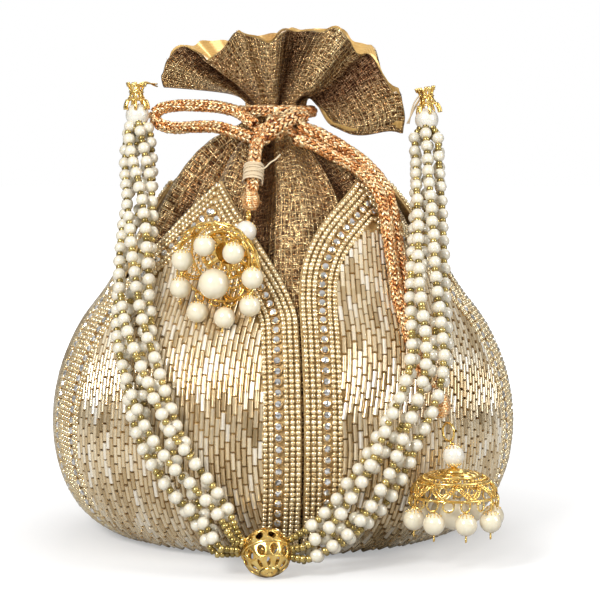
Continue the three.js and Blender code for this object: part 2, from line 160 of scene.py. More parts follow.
def add_floor():
    """A pale floor that glows for the camera only, less near the bag: the lower glow paints a darker pool of
    shade round the bag and lets its real shadow show.
    """
    mesh = bpy.data.meshes.new("floor")
    reach = 6.0
    corners = [(-reach, -reach, 0), (reach, -reach, 0), (reach, reach, 0), (-reach, reach, 0)]
    mesh.from_pydata(corners, [], [(0, 1, 2, 3)])
    floor = bpy.data.objects.new("floor", mesh)
    bpy.context.scene.collection.objects.link(floor)
    material = new_material("floor_paint")
    nodes, links = material.node_tree.nodes, material.node_tree.links
    shader = nodes["Principled BSDF"]
    shader.inputs["Base Color"].default_value = (0.5, 0.5, 0.5, 1)
    shader.inputs["Emission Color"].default_value = (1, 1, 1, 1)
    distance = nodes.new("ShaderNodeVectorMath")
    distance.operation = "LENGTH"
    links.new(nodes.new("ShaderNodeTexCoord").outputs["Object"], distance.inputs[0])
    # Painted shade: the glow falls off toward the bag, which darkens the floor round it.
    glow = nodes.new("ShaderNodeMapRange")
    glow.inputs["From Min"].default_value = 0.06
    glow.inputs["From Max"].default_value = 0.4
    glow.inputs["To Min"].default_value = 0.36
    glow.inputs["To Max"].default_value = 1.0
    links.new(distance.outputs["Value"], glow.inputs["Value"])
    seen = nodes.new("ShaderNodeMath")
    seen.operation = "MULTIPLY"
    links.new(glow.outputs["Result"], seen.inputs[0])
    links.new(nodes.new("ShaderNodeLightPath").outputs["Is Camera Ray"], seen.inputs[1])
    links.new(seen.outputs["Value"], shader.inputs["Emission Strength"])
    shader.inputs["Roughness"].default_value = 0.6
    shader.inputs["Specular IOR Level"].default_value = 0.2
    mesh.materials.append(material)


# ---------------------------------------------------------------- materials

def new_material(name):
    material = bpy.data.materials.new(name)
    material.use_nodes = True
    return material


class Shader:
    """A Principled material with short calls for the nodes that this scene uses."""

    def __init__(self, name, colour, roughness, metallic=0.0, coat=0.0):
        self.material = new_material(name)
        self.nodes = self.material.node_tree.nodes
        self.links = self.material.node_tree.links
        self.shader = self.nodes["Principled BSDF"]
        self.set("Base Color", (*colour, 1))
        self.set("Roughness", roughness)
        self.set("Metallic", metallic)
        self.set("Coat Weight", coat)
        self.set("Coat Roughness", 0.08)

    def set(self, socket, value):
        self.shader.inputs[socket].default_value = value

    def link(self, source, target):
        self.links.new(source, target)

    def drive(self, socket, source):
        self.links.new(source, self.shader.inputs[socket])

    def coordinates(self):
        return self.nodes.new("ShaderNodeTexCoord").outputs["Object"]

    def uv(self):
        node = self.nodes.new("ShaderNodeUVMap")
        node.uv_map = "cloth"
        return node.outputs["UV"]

    def attribute(self, name):
        node = self.nodes.new("ShaderNodeAttribute")
        node.attribute_name = name
        return node.outputs["Fac"]

    def scaled(self, vector, scale):
        node = self.nodes.new("ShaderNodeMapping")
        node.inputs["Scale"].default_value = scale
        self.link(vector, node.inputs["Vector"])
        return node.outputs["Vector"]

    def noise(self, vector, scale, detail):
        node = self.nodes.new("ShaderNodeTexNoise")
        node.inputs["Scale"].default_value = scale
        node.inputs["Detail"].default_value = detail
        node.inputs["Roughness"].default_value = 0.55
        self.link(vector, node.inputs["Vector"])
        return node.outputs["Fac"]

    def wave(self, vector, scale, direction):
        node = self.nodes.new("ShaderNodeTexWave")
        node.bands_direction = direction
        node.inputs["Scale"].default_value = scale
        self.link(vector, node.inputs["Vector"])
        return node.outputs["Fac"]

    def ramp(self, fac, stops):
        node = self.nodes.new("ShaderNodeValToRGB")
        elements = node.color_ramp.elements
        while len(elements) < len(stops):
            elements.new(0.5)
        for element, (position, colour) in zip(elements, stops):
            element.position = position
            element.color = (*colour, 1)
        self.link(fac, node.inputs["Fac"])
        return node.outputs["Color"]

    def math(self, operation, a, b=None):
        node = self.nodes.new("ShaderNodeMath")
        node.operation = operation
        for socket, value in zip(node.inputs, (a, b)):
            if value is None:
                continue
            if isinstance(value, (int, float)):
                socket.default_value = value
            else:
                self.link(value, socket)
        return node.outputs[0]

    def mix(self, fac, a, b, blend="MIX"):
        """One colour mixed with another. A number or a colour is set on the node's own socket."""
        node = self.nodes.new("ShaderNodeMix")
        node.data_type = "RGBA"
        node.blend_type = blend
        for socket, value in ((node.inputs[0], fac), (node.inputs[6], a), (node.inputs[7], b)):
            if isinstance(value, (int, float)):
                socket.default_value = value
            elif isinstance(value, tuple):
                socket.default_value = (*value, 1)
            else:
                self.link(value, socket)
        return node.outputs[2]

    def bump(self, height, strength, distance):
        node = self.nodes.new("ShaderNodeBump")
        node.inputs["Strength"].default_value = strength
        node.inputs["Distance"].default_value = distance
        self.link(height, node.inputs["Height"])
        self.drive("Normal", node.outputs["Normal"])


def tissue_material():
    """Metallic tissue: a weave of fine slubs with a lighter check, with painted shade in its fold valleys and
    lighter colour on the ridges.
    """
    s = Shader("bronze_tissue", (0.3, 0.2, 0.11), 0.3, 0.9)
    uv = s.uv()
    weft = s.noise(s.scaled(uv, (0.24, 1.9, 1)), 1.0, 2)
    warp = s.noise(s.scaled(uv, (1.9, 0.24, 1)), 1.0, 2)
    threads = s.math("MULTIPLY", s.math("ADD", weft, warp), 0.5)
    base = s.ramp(threads, [(0.42, (0.04, 0.011, 0.010)), (0.475, (0.20, 0.080, 0.035)),
                            (0.525, (0.56, 0.32, 0.13)), (0.575, (1.0, 0.88, 0.60))])
    patches = s.noise(s.scaled(uv, (0.03, 0.05, 1)), 1.0, 2)
    tinted = s.mix(s.math("MULTIPLY", patches, 0.16), base, (0.34, 0.32, 0.13), "MIX")
    check_u = s.wave(s.scaled(uv, (1 / 4.2, 0, 0)), 0.5, "X")
    check_v = s.wave(s.scaled(uv, (0, 1 / 4.6, 0)), 0.5, "Y")
    lines = s.math("MAXIMUM", s.math("POWER", check_u, 16.0), s.math("POWER", check_v, 16.0))
    broken = s.math("MULTIPLY", lines, s.noise(s.scaled(uv, (0.9, 0.9, 1)), 1.0, 2))
    colour = s.mix(s.math("MULTIPLY", broken, 1.5), tinted, (1.0, 0.80, 0.46))
    # Painted shade: the cloth's tone is its fold height, so the colour darkens in the fold valleys and
    # lightens on the ridges.
    painted_fold_shade = s.ramp(s.attribute("tone"), [(0.0, (0.27, 0.18, 0.15)), (0.45, (0.82, 0.72, 0.60)),
                                           (1.0, (1.0, 0.98, 0.88))])
    s.drive("Base Color", s.mix(1.0, colour, painted_fold_shade, "MULTIPLY"))
    s.drive("Roughness", s.math("ADD", s.math("MULTIPLY", threads, -0.5), 0.5))
    s.bump(s.math("ADD", threads, s.math("MULTIPLY", broken, 0.4)), 1.0, 0.0013)
    return s.material


def satin_material():
    s = Shader("gold_satin", (0.66, 0.41, 0.12), 0.36, 0.25)
    s.set("Sheen Weight", 0.3)
    uv = s.uv()
    grain = s.noise(s.scaled(uv, (0.2, 3.0, 1)), 1.0, 2)
    s.drive("Base Color", s.ramp(grain, [(0.3, (0.52, 0.29, 0.07)), (0.7, (0.80, 0.55, 0.20))]))
    s.bump(grain, 0.2, 0.0003)
    return s.material


def petal_cloth_material():
    s = Shader("petal_ground", (0.30, 0.19, 0.09), 0.5, 0.35)
    position = s.coordinates()
    grain = s.noise(position, 900, 2)
    s.drive("Base Color", s.ramp(grain, [(0.3, (0.36, 0.22, 0.08)), (0.7, (0.74, 0.52, 0.22))]))
    s.bump(grain, 0.3, 0.0003)
    return s.material


def bugle_material():
    """Silver-lined champagne glass: each bead has its own tone."""
    s = Shader("bugle_glass", (0.7, 0.58, 0.42), 0.2, 0.7, 0.6)
    tone = s.attribute("tone")
    s.drive("Base Color", s.ramp(tone, [(0.0, (0.54, 0.39, 0.20)), (0.35, (0.76, 0.60, 0.37)),
                                        (0.75, (0.88, 0.75, 0.53)), (1.0, (0.98, 0.92, 0.80))]))
    s.drive("Roughness", s.math("ADD", s.math("MULTIPLY", tone, 0.16), 0.14))
    return s.material


def seed_material(name, dark, light, roughness=0.22):
    s = Shader(name, light, roughness, 0.75, 0.5)
    s.drive("Base Color", s.ramp(s.attribute("tone"), [(0.0, dark), (1.0, light)]))
    return s.material


def stone_material():
    s = Shader("clear_stone", (0.93, 0.94, 0.96), 0.04, 0.9, 1.0)
    tone = s.attribute("tone")
    s.drive("Base Color", s.ramp(tone, [(0.0, (0.60, 0.58, 0.54)), (1.0, (1.0, 0.99, 0.97))]))
    return s.material


def gilt_material(name="bright_gilt", light=(1.0, 0.76, 0.29), dark=(0.86, 0.50, 0.10)):
    s = Shader(name, light, 0.2, 1.0)
    noise = s.noise(s.coordinates(), 420, 3)
    s.drive("Base Color", s.ramp(noise, [(0.3, dark), (0.62, light)]))
    s.drive("Roughness", s.math("ADD", s.math("MULTIPLY", noise, 0.25), 0.1))
    s.bump(noise, 0.25, 0.0002)
    return s.material


def pearl_material(name, colour, tint_and_rim_shade):
    s = Shader(name, colour, 0.28, 0.0, 1.0)
    s.set("Coat IOR", 1.8)
    s.set("Coat Roughness", 0.1)
    # Toward the rim the colour goes to the darker tint: painted shade at the pearl's edge. The cloudy noise
    # mixes in the same tint as a real tint.
    facing = s.nodes.new("ShaderNodeLayerWeight")
    facing.inputs["Blend"].default_value = 0.35
    cloudy = s.noise(s.coordinates(), 260, 2)
    body = s.mix(s.math("MULTIPLY", cloudy, 0.2), colour, tint_and_rim_shade)
    s.drive("Base Color", s.mix(s.math("MULTIPLY", facing.outputs["Facing"], 0.75), body, tint_and_rim_shade))
    s.set("Subsurface Weight", 0.12)
    s.set("Subsurface Radius", (0.004, 0.003, 0.002))
    s.set("Subsurface Scale", 0.5)
    s.set("Sheen Weight", 0.25)
    return s.material


def copper_cord_material():
    s = Shader("copper_crochet", (0.56, 0.25, 0.10), 0.3, 0.8)
    glints = s.noise(s.coordinates(), 1300, 2)
    mixed = s.math("ADD", s.math("MULTIPLY", glints, 0.75), s.math("MULTIPLY", s.attribute("tone"), 0.25))
    s.drive("Base Color", s.ramp(mixed, [(0.3, (0.30, 0.085, 0.025)), (0.45, (0.80, 0.36, 0.11)),
                                         (0.57, (1.0, 0.80, 0.48))]))
    s.bump(glints, 0.6, 0.0004)
    return s.material


# A dark tube inside the stitches: painted shade in the gaps of the crochet.
def gap_shade_core_material():
    return Shader("gap_shade_core", (0.20, 0.06, 0.03), 0.6, 0.3).material


def thread_material():
    s = Shader("binding_thread", (0.72, 0.58, 0.38), 0.75)
    s.bump(s.noise(s.coordinates(), 1800, 2), 0.4, 0.0002)
    s.set("Sheen Weight", 0.4)
    return s.material


MATERIALS = {}


def make_materials():
    MATERIALS.update({
        "tissue": tissue_material(),
        "satin": satin_material(),
        "petal_cloth": petal_cloth_material(),
        "bugle": bugle_material(),
        "border_seed": seed_material("border_seed", (0.70, 0.52, 0.27), (1.0, 0.86, 0.57)),
        "handle_seed": seed_material("handle_seed", (0.22, 0.15, 0.03), (0.66, 0.50, 0.17), 0.14),
        "stone": stone_material(),
        "gilt": gilt_material(),
        "cup": gilt_material("stone_cup", (0.9, 0.66, 0.36), (0.6, 0.38, 0.14)),
        "pearl": pearl_material("ivory_pearl", (0.80, 0.76, 0.63), (0.60, 0.48, 0.29)),
        "warm_pearl": pearl_material("warm_pearl", (0.84, 0.79, 0.62), (0.68, 0.50, 0.24)),
        "white_pearl": pearl_material("white_pearl", (0.82, 0.80, 0.72), (0.62, 0.54, 0.40)),
        "copper": copper_cord_material(),
        "gap_shade_core": gap_shade_core_material(),
        "thread": thread_material(),
    })


# ---------------------------------------------------------------- mesh building

class Builder:
    """Collects faces with their material and tone, then makes one mesh object."""

    def __init__(self):
        self.points, self.faces, self.slots, self.tones, self.uvs = [], [], [], [], []
        self.smooth = []
        self.count = 0
        self.materials = []

    def add(self, points, faces, material, tone=0.5, uvs=None):
        points = np.asarray(points, float)
        self.add_faces(faces, material)
        self.points.append(points)
        self.tones.append(np.broadcast_to(np.asarray(tone, float), (len(points),)))
        self.uvs.append(np.zeros((len(points), 2)) if uvs is None else np.asarray(uvs, float))
        self.count += len(points)

    def copies(self, template, places, material, tones=None, smooth=True):
        """Adds one copy of a template at each 3x4 placement."""
        points, faces = template
        places = np.asarray(places, float)
        if len(places) == 0:
            return
        moved = np.einsum("nij,vj->nvi", places[:, :, :3], points) + places[:, None, :, 3]
        steps = np.arange(len(places)) * len(points)
        for group in faces:
            group = np.asarray(group, int)
            self.add_faces((group[None] + steps[:, None, None]).reshape(-1, group.shape[1]), material, smooth)
        tones = np.full(len(places), 0.5) if tones is None else np.asarray(tones, float)
        self.points.append(moved.reshape(-1, 3))
        self.tones.append(np.repeat(tones, len(points)))
        self.uvs.append(np.zeros((len(places) * len(points), 2)))
        self.count += len(places) * len(points)

    def add_faces(self, faces, material, smooth=True):
        """Faces of the points that are added next, counted from the first of them."""
        faces = np.asarray(faces, int)
        if material not in self.materials:
            self.materials.append(material)
        self.faces.append(faces + self.count)
        self.slots.append(np.full(len(faces), self.materials.index(material)))
        self.smooth.append(np.full(len(faces), smooth))

    def finish(self, name):
        points = np.concatenate(self.points) * MM
        mesh = bpy.data.meshes.new(name)
        mesh.vertices.add(len(points))
        mesh.vertices.foreach_set("co", points.astype(np.float32).ravel())
        sizes = np.concatenate([np.full(len(f), f.shape[1]) for f in self.faces])
        loops = np.concatenate([f.ravel() for f in self.faces])
        starts = np.concatenate(([0], np.cumsum(sizes)[:-1]))
        mesh.loops.add(len(loops))
        mesh.loops.foreach_set("vertex_index", loops.astype(np.int32))
        mesh.polygons.add(len(sizes))
        mesh.polygons.foreach_set("loop_start", starts.astype(np.int32))
        mesh.polygons.foreach_set("material_index", np.concatenate(self.slots).astype(np.int32))
        mesh.polygons.foreach_set("use_smooth", np.concatenate(self.smooth))
        layer = mesh.uv_layers.new(name="cloth")
        uvs = np.concatenate(self.uvs)[loops]
        layer.data.foreach_set("uv", uvs.astype(np.float32).ravel())
        mesh.update(calc_edges=True)
        mesh.validate()
        tone = mesh.attributes.new("tone", "FLOAT", "POINT")
        tone.data.foreach_set("value", np.concatenate(self.tones).astype(np.float32))
        for key in self.materials:
            mesh.materials.append(MATERIALS[key])
        piece = bpy.data.objects.new(name, mesh)
        bpy.context.scene.collection.objects.link(piece)
        return piece


def grid_faces(rows, columns, closed=False):
    """Quads between rows of points; closed joins the last column to the first."""
    last = columns if closed else columns - 1
    row, column = np.meshgrid(np.arange(rows - 1), np.arange(last), indexing="ij")
    following = (column + 1) % columns
    quads = np.stack([row * columns + column, row * columns + following,
                      (row + 1) * columns + following, (row + 1) * columns + column], axis=-1)
    return quads.reshape(-1, 4)


def lathe_template(profile, sides):
    """A turned solid round Z. The profile runs from the bottom to the top; radius 0 closes it."""
    profile = [(max(radius, 1e-4), height) for radius, height in profile]
    angles = np.arange(sides) * TURN / sides
    points = [(r * math.cos(a), r * math.sin(a), h) for r, h in profile for a in angles]
    quads = grid_faces(len(profile), sides, closed=True)
    low = [list(range(sides))[::-1]]
    high = [[(len(profile) - 1) * sides + i for i in range(sides)]]
    return np.array(points), [quads, low, high]


def tube_bead_template(radius, length, sides):
    """A cut glass tube with plain ends. The ends have their own points, so they stay sharp."""
    angles = np.arange(sides) * TURN / sides
    circle = np.column_stack([radius * np.cos(angles), radius * np.sin(angles)])
    low, high = (np.column_stack([circle, np.full(sides, end)]) for end in (-length / 2, length / 2))
    points = np.vstack([low, high, low, high])
    bottom = [list(range(3 * sides - 1, 2 * sides - 1, -1))]
    top = [list(range(3 * sides, 4 * sides))]
    return points, [grid_faces(2, sides, closed=True), bottom, top]


def ball_template(radius, sides=12, rows=8, squash=1.0):
    heights = [-math.cos(math.pi * i / rows) for i in range(1, rows)]
    profile = [(radius * math.sqrt(1 - h * h), radius * h * squash) for h in heights]
    low, high = ((radius * 0.04, end * radius * squash) for end in (-1, 1))
    return lathe_template([low, *profile, high], sides)


def unit(vectors):
    """Vectors of length one in the same directions."""
    return vectors / np.linalg.norm(vectors, axis=-1, keepdims=True)


def turned(radius, longitude, height):
    return np.array((radius * math.cos(longitude), radius * math.sin(longitude), height))


def carried(place, points):
    """Points moved by a 3x4 placement."""
    return np.asarray(points) @ place[:, :3].T + place[:, 3]


def placement(axis, at, spin=0.0, scale=1.0):
    """A 3x4 matrix that turns +Z onto the axis and moves the origin to a point."""
    z = unit(np.asarray(axis, float))
    helper = np.array((0.0, 0.0, 1.0)) if abs(z[2]) < 0.9 else np.array((1.0, 0.0, 0.0))
    x = unit(np.cross(helper, z))
    y = np.cross(z, x)
    turned_x = x * math.cos(spin) + y * math.sin(spin)
    turned_y = np.cross(z, turned_x)
    return np.column_stack([turned_x * scale, turned_y * scale, z * scale, np.asarray(at, float)])


def smooth_path(points, spacing=1.0):
    """Centripetal Catmull-Rom through the points, as even steps of about the spacing."""
    points = np.asarray(points, float)
    padded = np.vstack([2 * points[0] - points[1], points, 2 * points[-1] - points[-2]])
    samples = []
    for i in range(len(points) - 1):
        p0, p1, p2, p3 = padded[i:i + 4]
        t1 = np.linalg.norm(p1 - p0) ** 0.5
        t2 = t1 + np.linalg.norm(p2 - p1) ** 0.5
        t3 = t2 + np.linalg.norm(p3 - p2) ** 0.5
        for t in np.linspace(t1, t2, 24, endpoint=False):
            a1 = p0 * (t1 - t) / t1 + p1 * t / t1
            a2 = p1 * (t2 - t) / (t2 - t1) + p2 * (t - t1) / (t2 - t1)
            a3 = p2 * (t3 - t) / (t3 - t2) + p3 * (t - t2) / (t3 - t2)
            b1 = a1 * (t2 - t) / t2 + a2 * t / t2
            b2 = a2 * (t3 - t) / (t3 - t1) + a3 * (t - t1) / (t3 - t1)
            samples.append(b1 * (t2 - t) / (t2 - t1) + b2 * (t - t1) / (t2 - t1))
    samples.append(points[-1])
    return resample(np.array(samples), spacing)


def distance_along(points):
    """The distance from a path's start to each of its points."""
    steps = np.linalg.norm(np.diff(points, axis=0), axis=1)
    return np.concatenate(([0], np.cumsum(steps)))


def resample(points, spacing):
    along = distance_along(points)
    count = max(2, int(round(along[-1] / spacing)) + 1)
    at = np.linspace(0, along[-1], count)
    return np.column_stack([np.interp(at, along, points[:, axis]) for axis in range(points.shape[1])])


def frames(path):
    """Tangent and two side directions at each point, carried along without twist."""
    tangents = unit(np.gradient(path, axis=0))
    helper = np.array((0.0, 0.0, 1.0)) if abs(tangents[0][2]) < 0.8 else np.array((0.0, 1.0, 0.0))
    side = np.cross(helper, tangents[0])
    sides = []
    for tangent in tangents:
        side = unit(side - tangent * side.dot(tangent))
        sides.append(side)
    sides = np.array(sides)
    return tangents, sides, np.cross(tangents, sides)


def add_tube(builder, path, radius, material, sides=6, tone=0.5, closed=False):
    """A round tube along a path; radius may be one number or one for each point."""
    path = np.asarray(path, float)
    radius = np.broadcast_to(np.asarray(radius, float), (len(path),))
    tangents, across, up = frames(path)
    angles = np.arange(sides) * TURN / sides
    ring = across[:, None] * np.cos(angles)[None, :, None] + up[:, None] * np.sin(angles)[None, :, None]
    points = path[:, None] + ring * radius[:, None, None]
    quads = grid_faces(len(path), sides, closed=True)
    if closed:
        last = (len(path) - 1) * sides
        start = np.arange(sides)
        joined = np.stack([last + start, last + (start + 1) % sides, (start + 1) % sides, start], axis=-1)
        builder.add(points.reshape(-1, 3), np.vstack([quads, joined]), material, tone)
        return
    first_end, last_end = range(sides), range((len(path) - 1) * sides, len(path) * sides)
    builder.add_faces([first_end[::-1], last_end], material)
    builder.add(points.reshape(-1, 3), quads, material, tone)


def circle_path(centre, normal, radius, count=32):
    place = placement(normal, centre)
    angles = np.arange(count) * TURN / count
    ring = np.column_stack([radius * np.cos(angles), radius * np.sin(angles), np.zeros(count)])
    return carried(place, ring)


def put(piece, body, slot, *nodes):
    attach(piece, body)
    if nodes:
        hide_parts(*nodes)
    return piece


# ---------------------------------------------------------------- the body's surface

profile_line = smooth_path([(radius, 0, z) for radius, z in CLOTH_PROFILE], 0.5)[:, [0, 2]]
profile_along = distance_along(profile_line)
profile_slope = unit(np.gradient(profile_line, axis=0))


def along_at(z):
    """Distance along the profile, from the base, of a height."""
    return np.interp(z, profile_line[:, 1], profile_along)


def cloth_point(along, azimuth, lift=0.0):
    """A point on the stuffed body: distance up the profile, azimuth from the front, and lift."""
    radius = np.interp(along, profile_along, profile_line[:, 0])
    z = np.interp(along, profile_along, profile_line[:, 1])
    slope_r = np.interp(along, profile_along, profile_slope[:, 0])
    slope_z = np.interp(along, profile_along, profile_slope[:, 1])
    radius = radius + lift * slope_z
    z = z - lift * slope_r
    fraction = np.clip((z - 145) / (NECK_BOTTOM - 145), 0, 1)
    shift = NECK_X * fraction * fraction * (3 - 2 * fraction)
    x, y, z = np.broadcast_arrays(radius * np.sin(azimuth) + shift, -radius * np.cos(azimuth), z)
    return np.stack([x, y, z], axis=-1)


def radius_at(along):
    return np.interp(along, profile_along, profile_line[:, 0])


# ---------------------------------------------------------------- pouch, ruffle and lining

RUFFLE_WAVES = [(3, 0.30, 0.4), (7, 0.62, 2.6), (10, 0.50, 0.9), (17, 0.26, 1.2), (31, 0.08, 0.2)]
GATHER_WAVES = [(4, 0.25, 0.4), (7, 0.75, 4.6), (13, 0.38, 5.9), (23, 0.20, 1.2), (37, 0.10, 0.2)]


def fold_height(azimuth, waves):
    """Irregular gathers round the neck, from about -1 in a valley to 1 on a ridge."""
    height = sum(size * np.cos(count * azimuth + phase) for count, size, phase in waves)
    return np.tanh(1.25 * height)


def rim_height(azimuth):
    """The rim's height at an azimuth, eased from one listed height to the next."""
    turned = (np.degrees(azimuth) + 90) % 360 - 90
    angles, heights = (np.array(column, float) for column in zip(*RIM_HEIGHTS))
    before = np.clip(np.searchsorted(angles, turned, side="right") - 1, 0, len(angles) - 2)
    share = (turned - angles[before]) / (angles[before + 1] - angles[before])
    share = share * share * (3 - 2 * share)
    return heights[before] + (heights[before + 1] - heights[before]) * share


def smooth_step(value, low, high):
    share = np.clip((value - low) / (high - low), 0, 1)
    return share * share * (3 - 2 * share)


def ruffle_face(level, azimuth):
    """A point on the ruffle: level 0 is the neck and 1 the rim. The folds fan out from the tie."""
    side, front = np.sin(azimuth), -np.cos(azimuth)
    rim = rim_height(azimuth)
    fold = fold_height(azimuth + 0.12 * level * np.sin(2 * azimuth), RUFFLE_WAVES)
    ends = np.abs(front) ** 0.5
    width = NECK_RADIUS + (RIM_HALF_WIDTH - NECK_RADIUS) * level + fold * (1.2 + 1.2 * level)
    depth = NECK_RADIUS + (RIM_HALF_DEPTH - NECK_RADIUS) * level
    depth = depth + fold * (2.2 + 7.4 * level ** 0.8) * (0.3 + 0.7 * ends)
    arch = RIM_ARCH * (220 - rim) * np.sin(math.pi * level ** 0.35)
    wave = 0.7 * level ** 3 * np.sin(17 * azimuth) + 0.5 * level ** 4 * np.sin(31 * azimuth + 1)
    flop = smooth_step(level, 0.08, 0.3) * (1 - smooth_step(level, 0.45, 1.0)) * np.maximum(0, side) ** 2.5
    z = NECK_TOP + (rim - NECK_TOP) * level ** 0.9 + arch + wave - WING_FLOP * flop
    return np.stack([NECK_X * (1 - level) + width * side, depth * front, z], axis=-1)


def inside_face(level, azimuth, distance):
    """The ruffle's surface moved level, square to itself and towards the inside."""
    face = ruffle_face(level, azimuth)
    tangent = ruffle_face(level, azimuth + 0.01) - ruffle_face(level, azimuth - 0.01)
    outward = np.column_stack([tangent[:, 1], -tangent[:, 0]])
    face[:, :2] -= distance * unit(outward)
    return face


def body_cloth(along, azimuth):
    """The stuffed body with its gathers, which fade out below the tie."""
    top = along_at(NECK_BOTTOM)
    gather = np.clip((along - along_at(98)) / (top - along_at(98)), 0, 1)
    size = 8.6 * gather ** 0.65 * np.minimum(1, radius_at(along) / 38)
    crumple = 0.35 * gather * np.sin(47 * azimuth + 0.11 * along) * np.sin(0.35 * along + 5 * azimuth)
    return cloth_point(along, azimuth, size * (fold_height(azimuth, GATHER_WAVES) - 0.85) + crumple)


def add_pouch_cloth():
    around = 300
    azimuth = np.linspace(0, TURN, around + 1)
    top = along_at(NECK_BOTTOM)
    rows, texture_v, tones = [], [], []
    # The fold heights go into the tone, which the tissue material turns into painted shade in the valleys and
    # lighter colour on the ridges.
    gathers, pleats = (0.5 + 0.5 * fold_height(azimuth, waves) for waves in (GATHER_WAVES, RUFFLE_WAVES))
    for along in np.concatenate([np.linspace(0, along_at(80), 14), np.linspace(along_at(84), top, 46)]):
        rows.append(body_cloth(along, azimuth))
        texture_v.append(along)
        tones.append(gathers)
    for level in np.linspace(0.02, 1, 40):
        rows.append(ruffle_face(level, azimuth))
        texture_v.append(top + 6 + 44 * level)
        tones.append(pleats)
    for level in np.linspace(1, 0.1, 20):
        rows.append(inside_face(level, azimuth, 0.9))
        texture_v.append(top + 6 + 44 * (2 - level))
        tones.append(pleats)
    points = np.array(rows)
    circumference = 62 * azimuth
    uvs = np.stack(np.meshgrid(circumference, texture_v, indexing="xy"), axis=-1)
    builder = Builder()
    builder.add(points.reshape(-1, 3), grid_faces(len(rows), around + 1), "tissue", np.ravel(tones),
                uvs.reshape(-1, 2))
    base_ring = cloth_point(0.0, azimuth[:-1])
    builder.add(np.vstack([base_ring, [[0, 0, base_ring[0][2]]]]),
                [[(i + 1) % around, i, around] for i in range(around)], "tissue")
    for _ in range(150):
        where = rng.uniform(0, TURN)
        root = ruffle_face(0.985, where)
        way = np.array((rng.normal(0, 0.5), rng.normal(0, 0.5), 1.0))
        reach = rng.uniform(0.5, 1.3)
        add_tube(builder, np.linspace(root, root + way * reach, 3), 0.09, "tissue", 3)
    piece = put(builder.finish("pouch_cloth"), "bag", "tissue_cloth", "pouch")


def add_lining():
    around = 240
    azimuth = np.linspace(0, TURN, around + 1)
    builder = Builder()
    rows, texture_v = [], []
    for level in np.linspace(1.012, 0.12, 30):
        face = inside_face(level, azimuth, 1.5)
        face[:, 2] += 0.5
        rows.append(face)
        texture_v.append(44 * level)
    uvs = np.stack(np.meshgrid(50 * azimuth, texture_v, indexing="xy"), axis=-1)
    builder.add(np.array(rows).reshape(-1, 3), grid_faces(len(rows), around + 1), "satin",
                uvs=uvs.reshape(-1, 2))
    piece = put(builder.finish("satin_lining"), "bag", "satin_lining", "lining")


# ---------------------------------------------------------------- beaded petals

def petal_half_angle(z, arch):
    rise = np.clip((z - VALLEY_Z) / (TIP_Z - VALLEY_Z), 0, 1)
    return PETAL_HALF_ANGLE * (1 - rise ** arch)


def petal_edge(inset, arch):
    """One side of the petal's outline as (distance up, azimuth), moved inward by the inset."""
    along = np.linspace(0, along_at(TIP_Z), 400)
    z = np.interp(along, profile_along, profile_line[:, 1])
    azimuth = petal_half_angle(z, arch)
    radius = radius_at(along)
    step_up = np.gradient(along)
    step_across = np.gradient(azimuth) * radius
    length = np.hypot(step_up, step_across)
    moved_up = along - inset * -step_across / length
    moved_azimuth = azimuth - inset * step_up / length / radius
    keep = (moved_azimuth > 0) & (moved_up >= 0)
    return np.column_stack([moved_up[keep], moved_azimuth[keep]])


def even_points(edge, pitch):
    """Even steps along an outline on the body, with the outline's direction at each."""
    radius = radius_at(edge[:, 0])
    steps = np.hypot(np.diff(edge[:, 0]), np.diff(edge[:, 1]) * (radius[1:] + radius[:-1]) / 2)
    along = np.concatenate(([0], np.cumsum(steps)))
    at = np.arange(pitch / 2, along[-1], pitch)
    return np.column_stack([np.interp(at, along, edge[:, axis]) for axis in range(2)])


SEED_TEMPLATE = lathe_template(
    [(SEED_RADIUS * 0.55, -SEED_LENGTH / 2), (SEED_RADIUS * 0.95, -SEED_LENGTH * 0.28),
     (SEED_RADIUS * 0.95, SEED_LENGTH * 0.28), (SEED_RADIUS * 0.55, SEED_LENGTH / 2)], 6)
BUGLE_TEMPLATE = tube_bead_template(BUGLE_RADIUS, BUGLE_LENGTH, 8)
STONE_TEMPLATE = lathe_template(
    [(STONE_RADIUS * 0.86, 0.3), (STONE_RADIUS * 0.66, 0.95), (STONE_RADIUS * 0.3, 1.2)], 7)
CUP_TEMPLATE = lathe_template(
    [(STONE_RADIUS * 0.8, -0.6), (STONE_RADIUS, -0.2), (STONE_RADIUS, 0.3), (STONE_RADIUS * 0.86, 0.45)], 8)


def beads_on_line(builder, centre, line, lift, template, material, pitch_jitter=0.0):
    """Beads that lie along a line of (distance up, azimuth) points."""
    places, tones = [], []
    for i in range(len(line)):
        before, after = line[max(0, i - 1)], line[min(len(line) - 1, i + 1)]
        start = cloth_point(before[0], centre + before[1], lift)
        end = cloth_point(after[0], centre + after[1], lift)
        at = cloth_point(line[i][0], centre + line[i][1], lift)
        direction = end - start + rng.normal(0, 0.12, 3)
        places.append(placement(direction, at + rng.normal(0, pitch_jitter, 3), rng.uniform(0, TURN)))
        tones.append(rng.uniform(0, 1))
    standing = [k for k, place in enumerate(places) if place[2, 3] > SEED_RADIUS + 0.3]
    builder.copies(template, [places[k] for k in standing], material, [tones[k] for k in standing])


def stones_on_line(builder, centre, line, lift):
    cups, tones = [], []
    for along, azimuth in line:
        at = cloth_point(along, centre + azimuth, lift)
        if at[2] < STONE_RADIUS + 0.3:
            continue
        normal = cloth_point(along, centre + azimuth, lift + 1.0) - at
        cups.append(placement(normal + rng.normal(0, 0.06, 3), at, rng.uniform(0, TURN)))
        tones.append(rng.uniform(0, 1))
    builder.copies(CUP_TEMPLATE, cups, "cup")
    builder.copies(STONE_TEMPLATE, cups, "stone", tones, smooth=False)


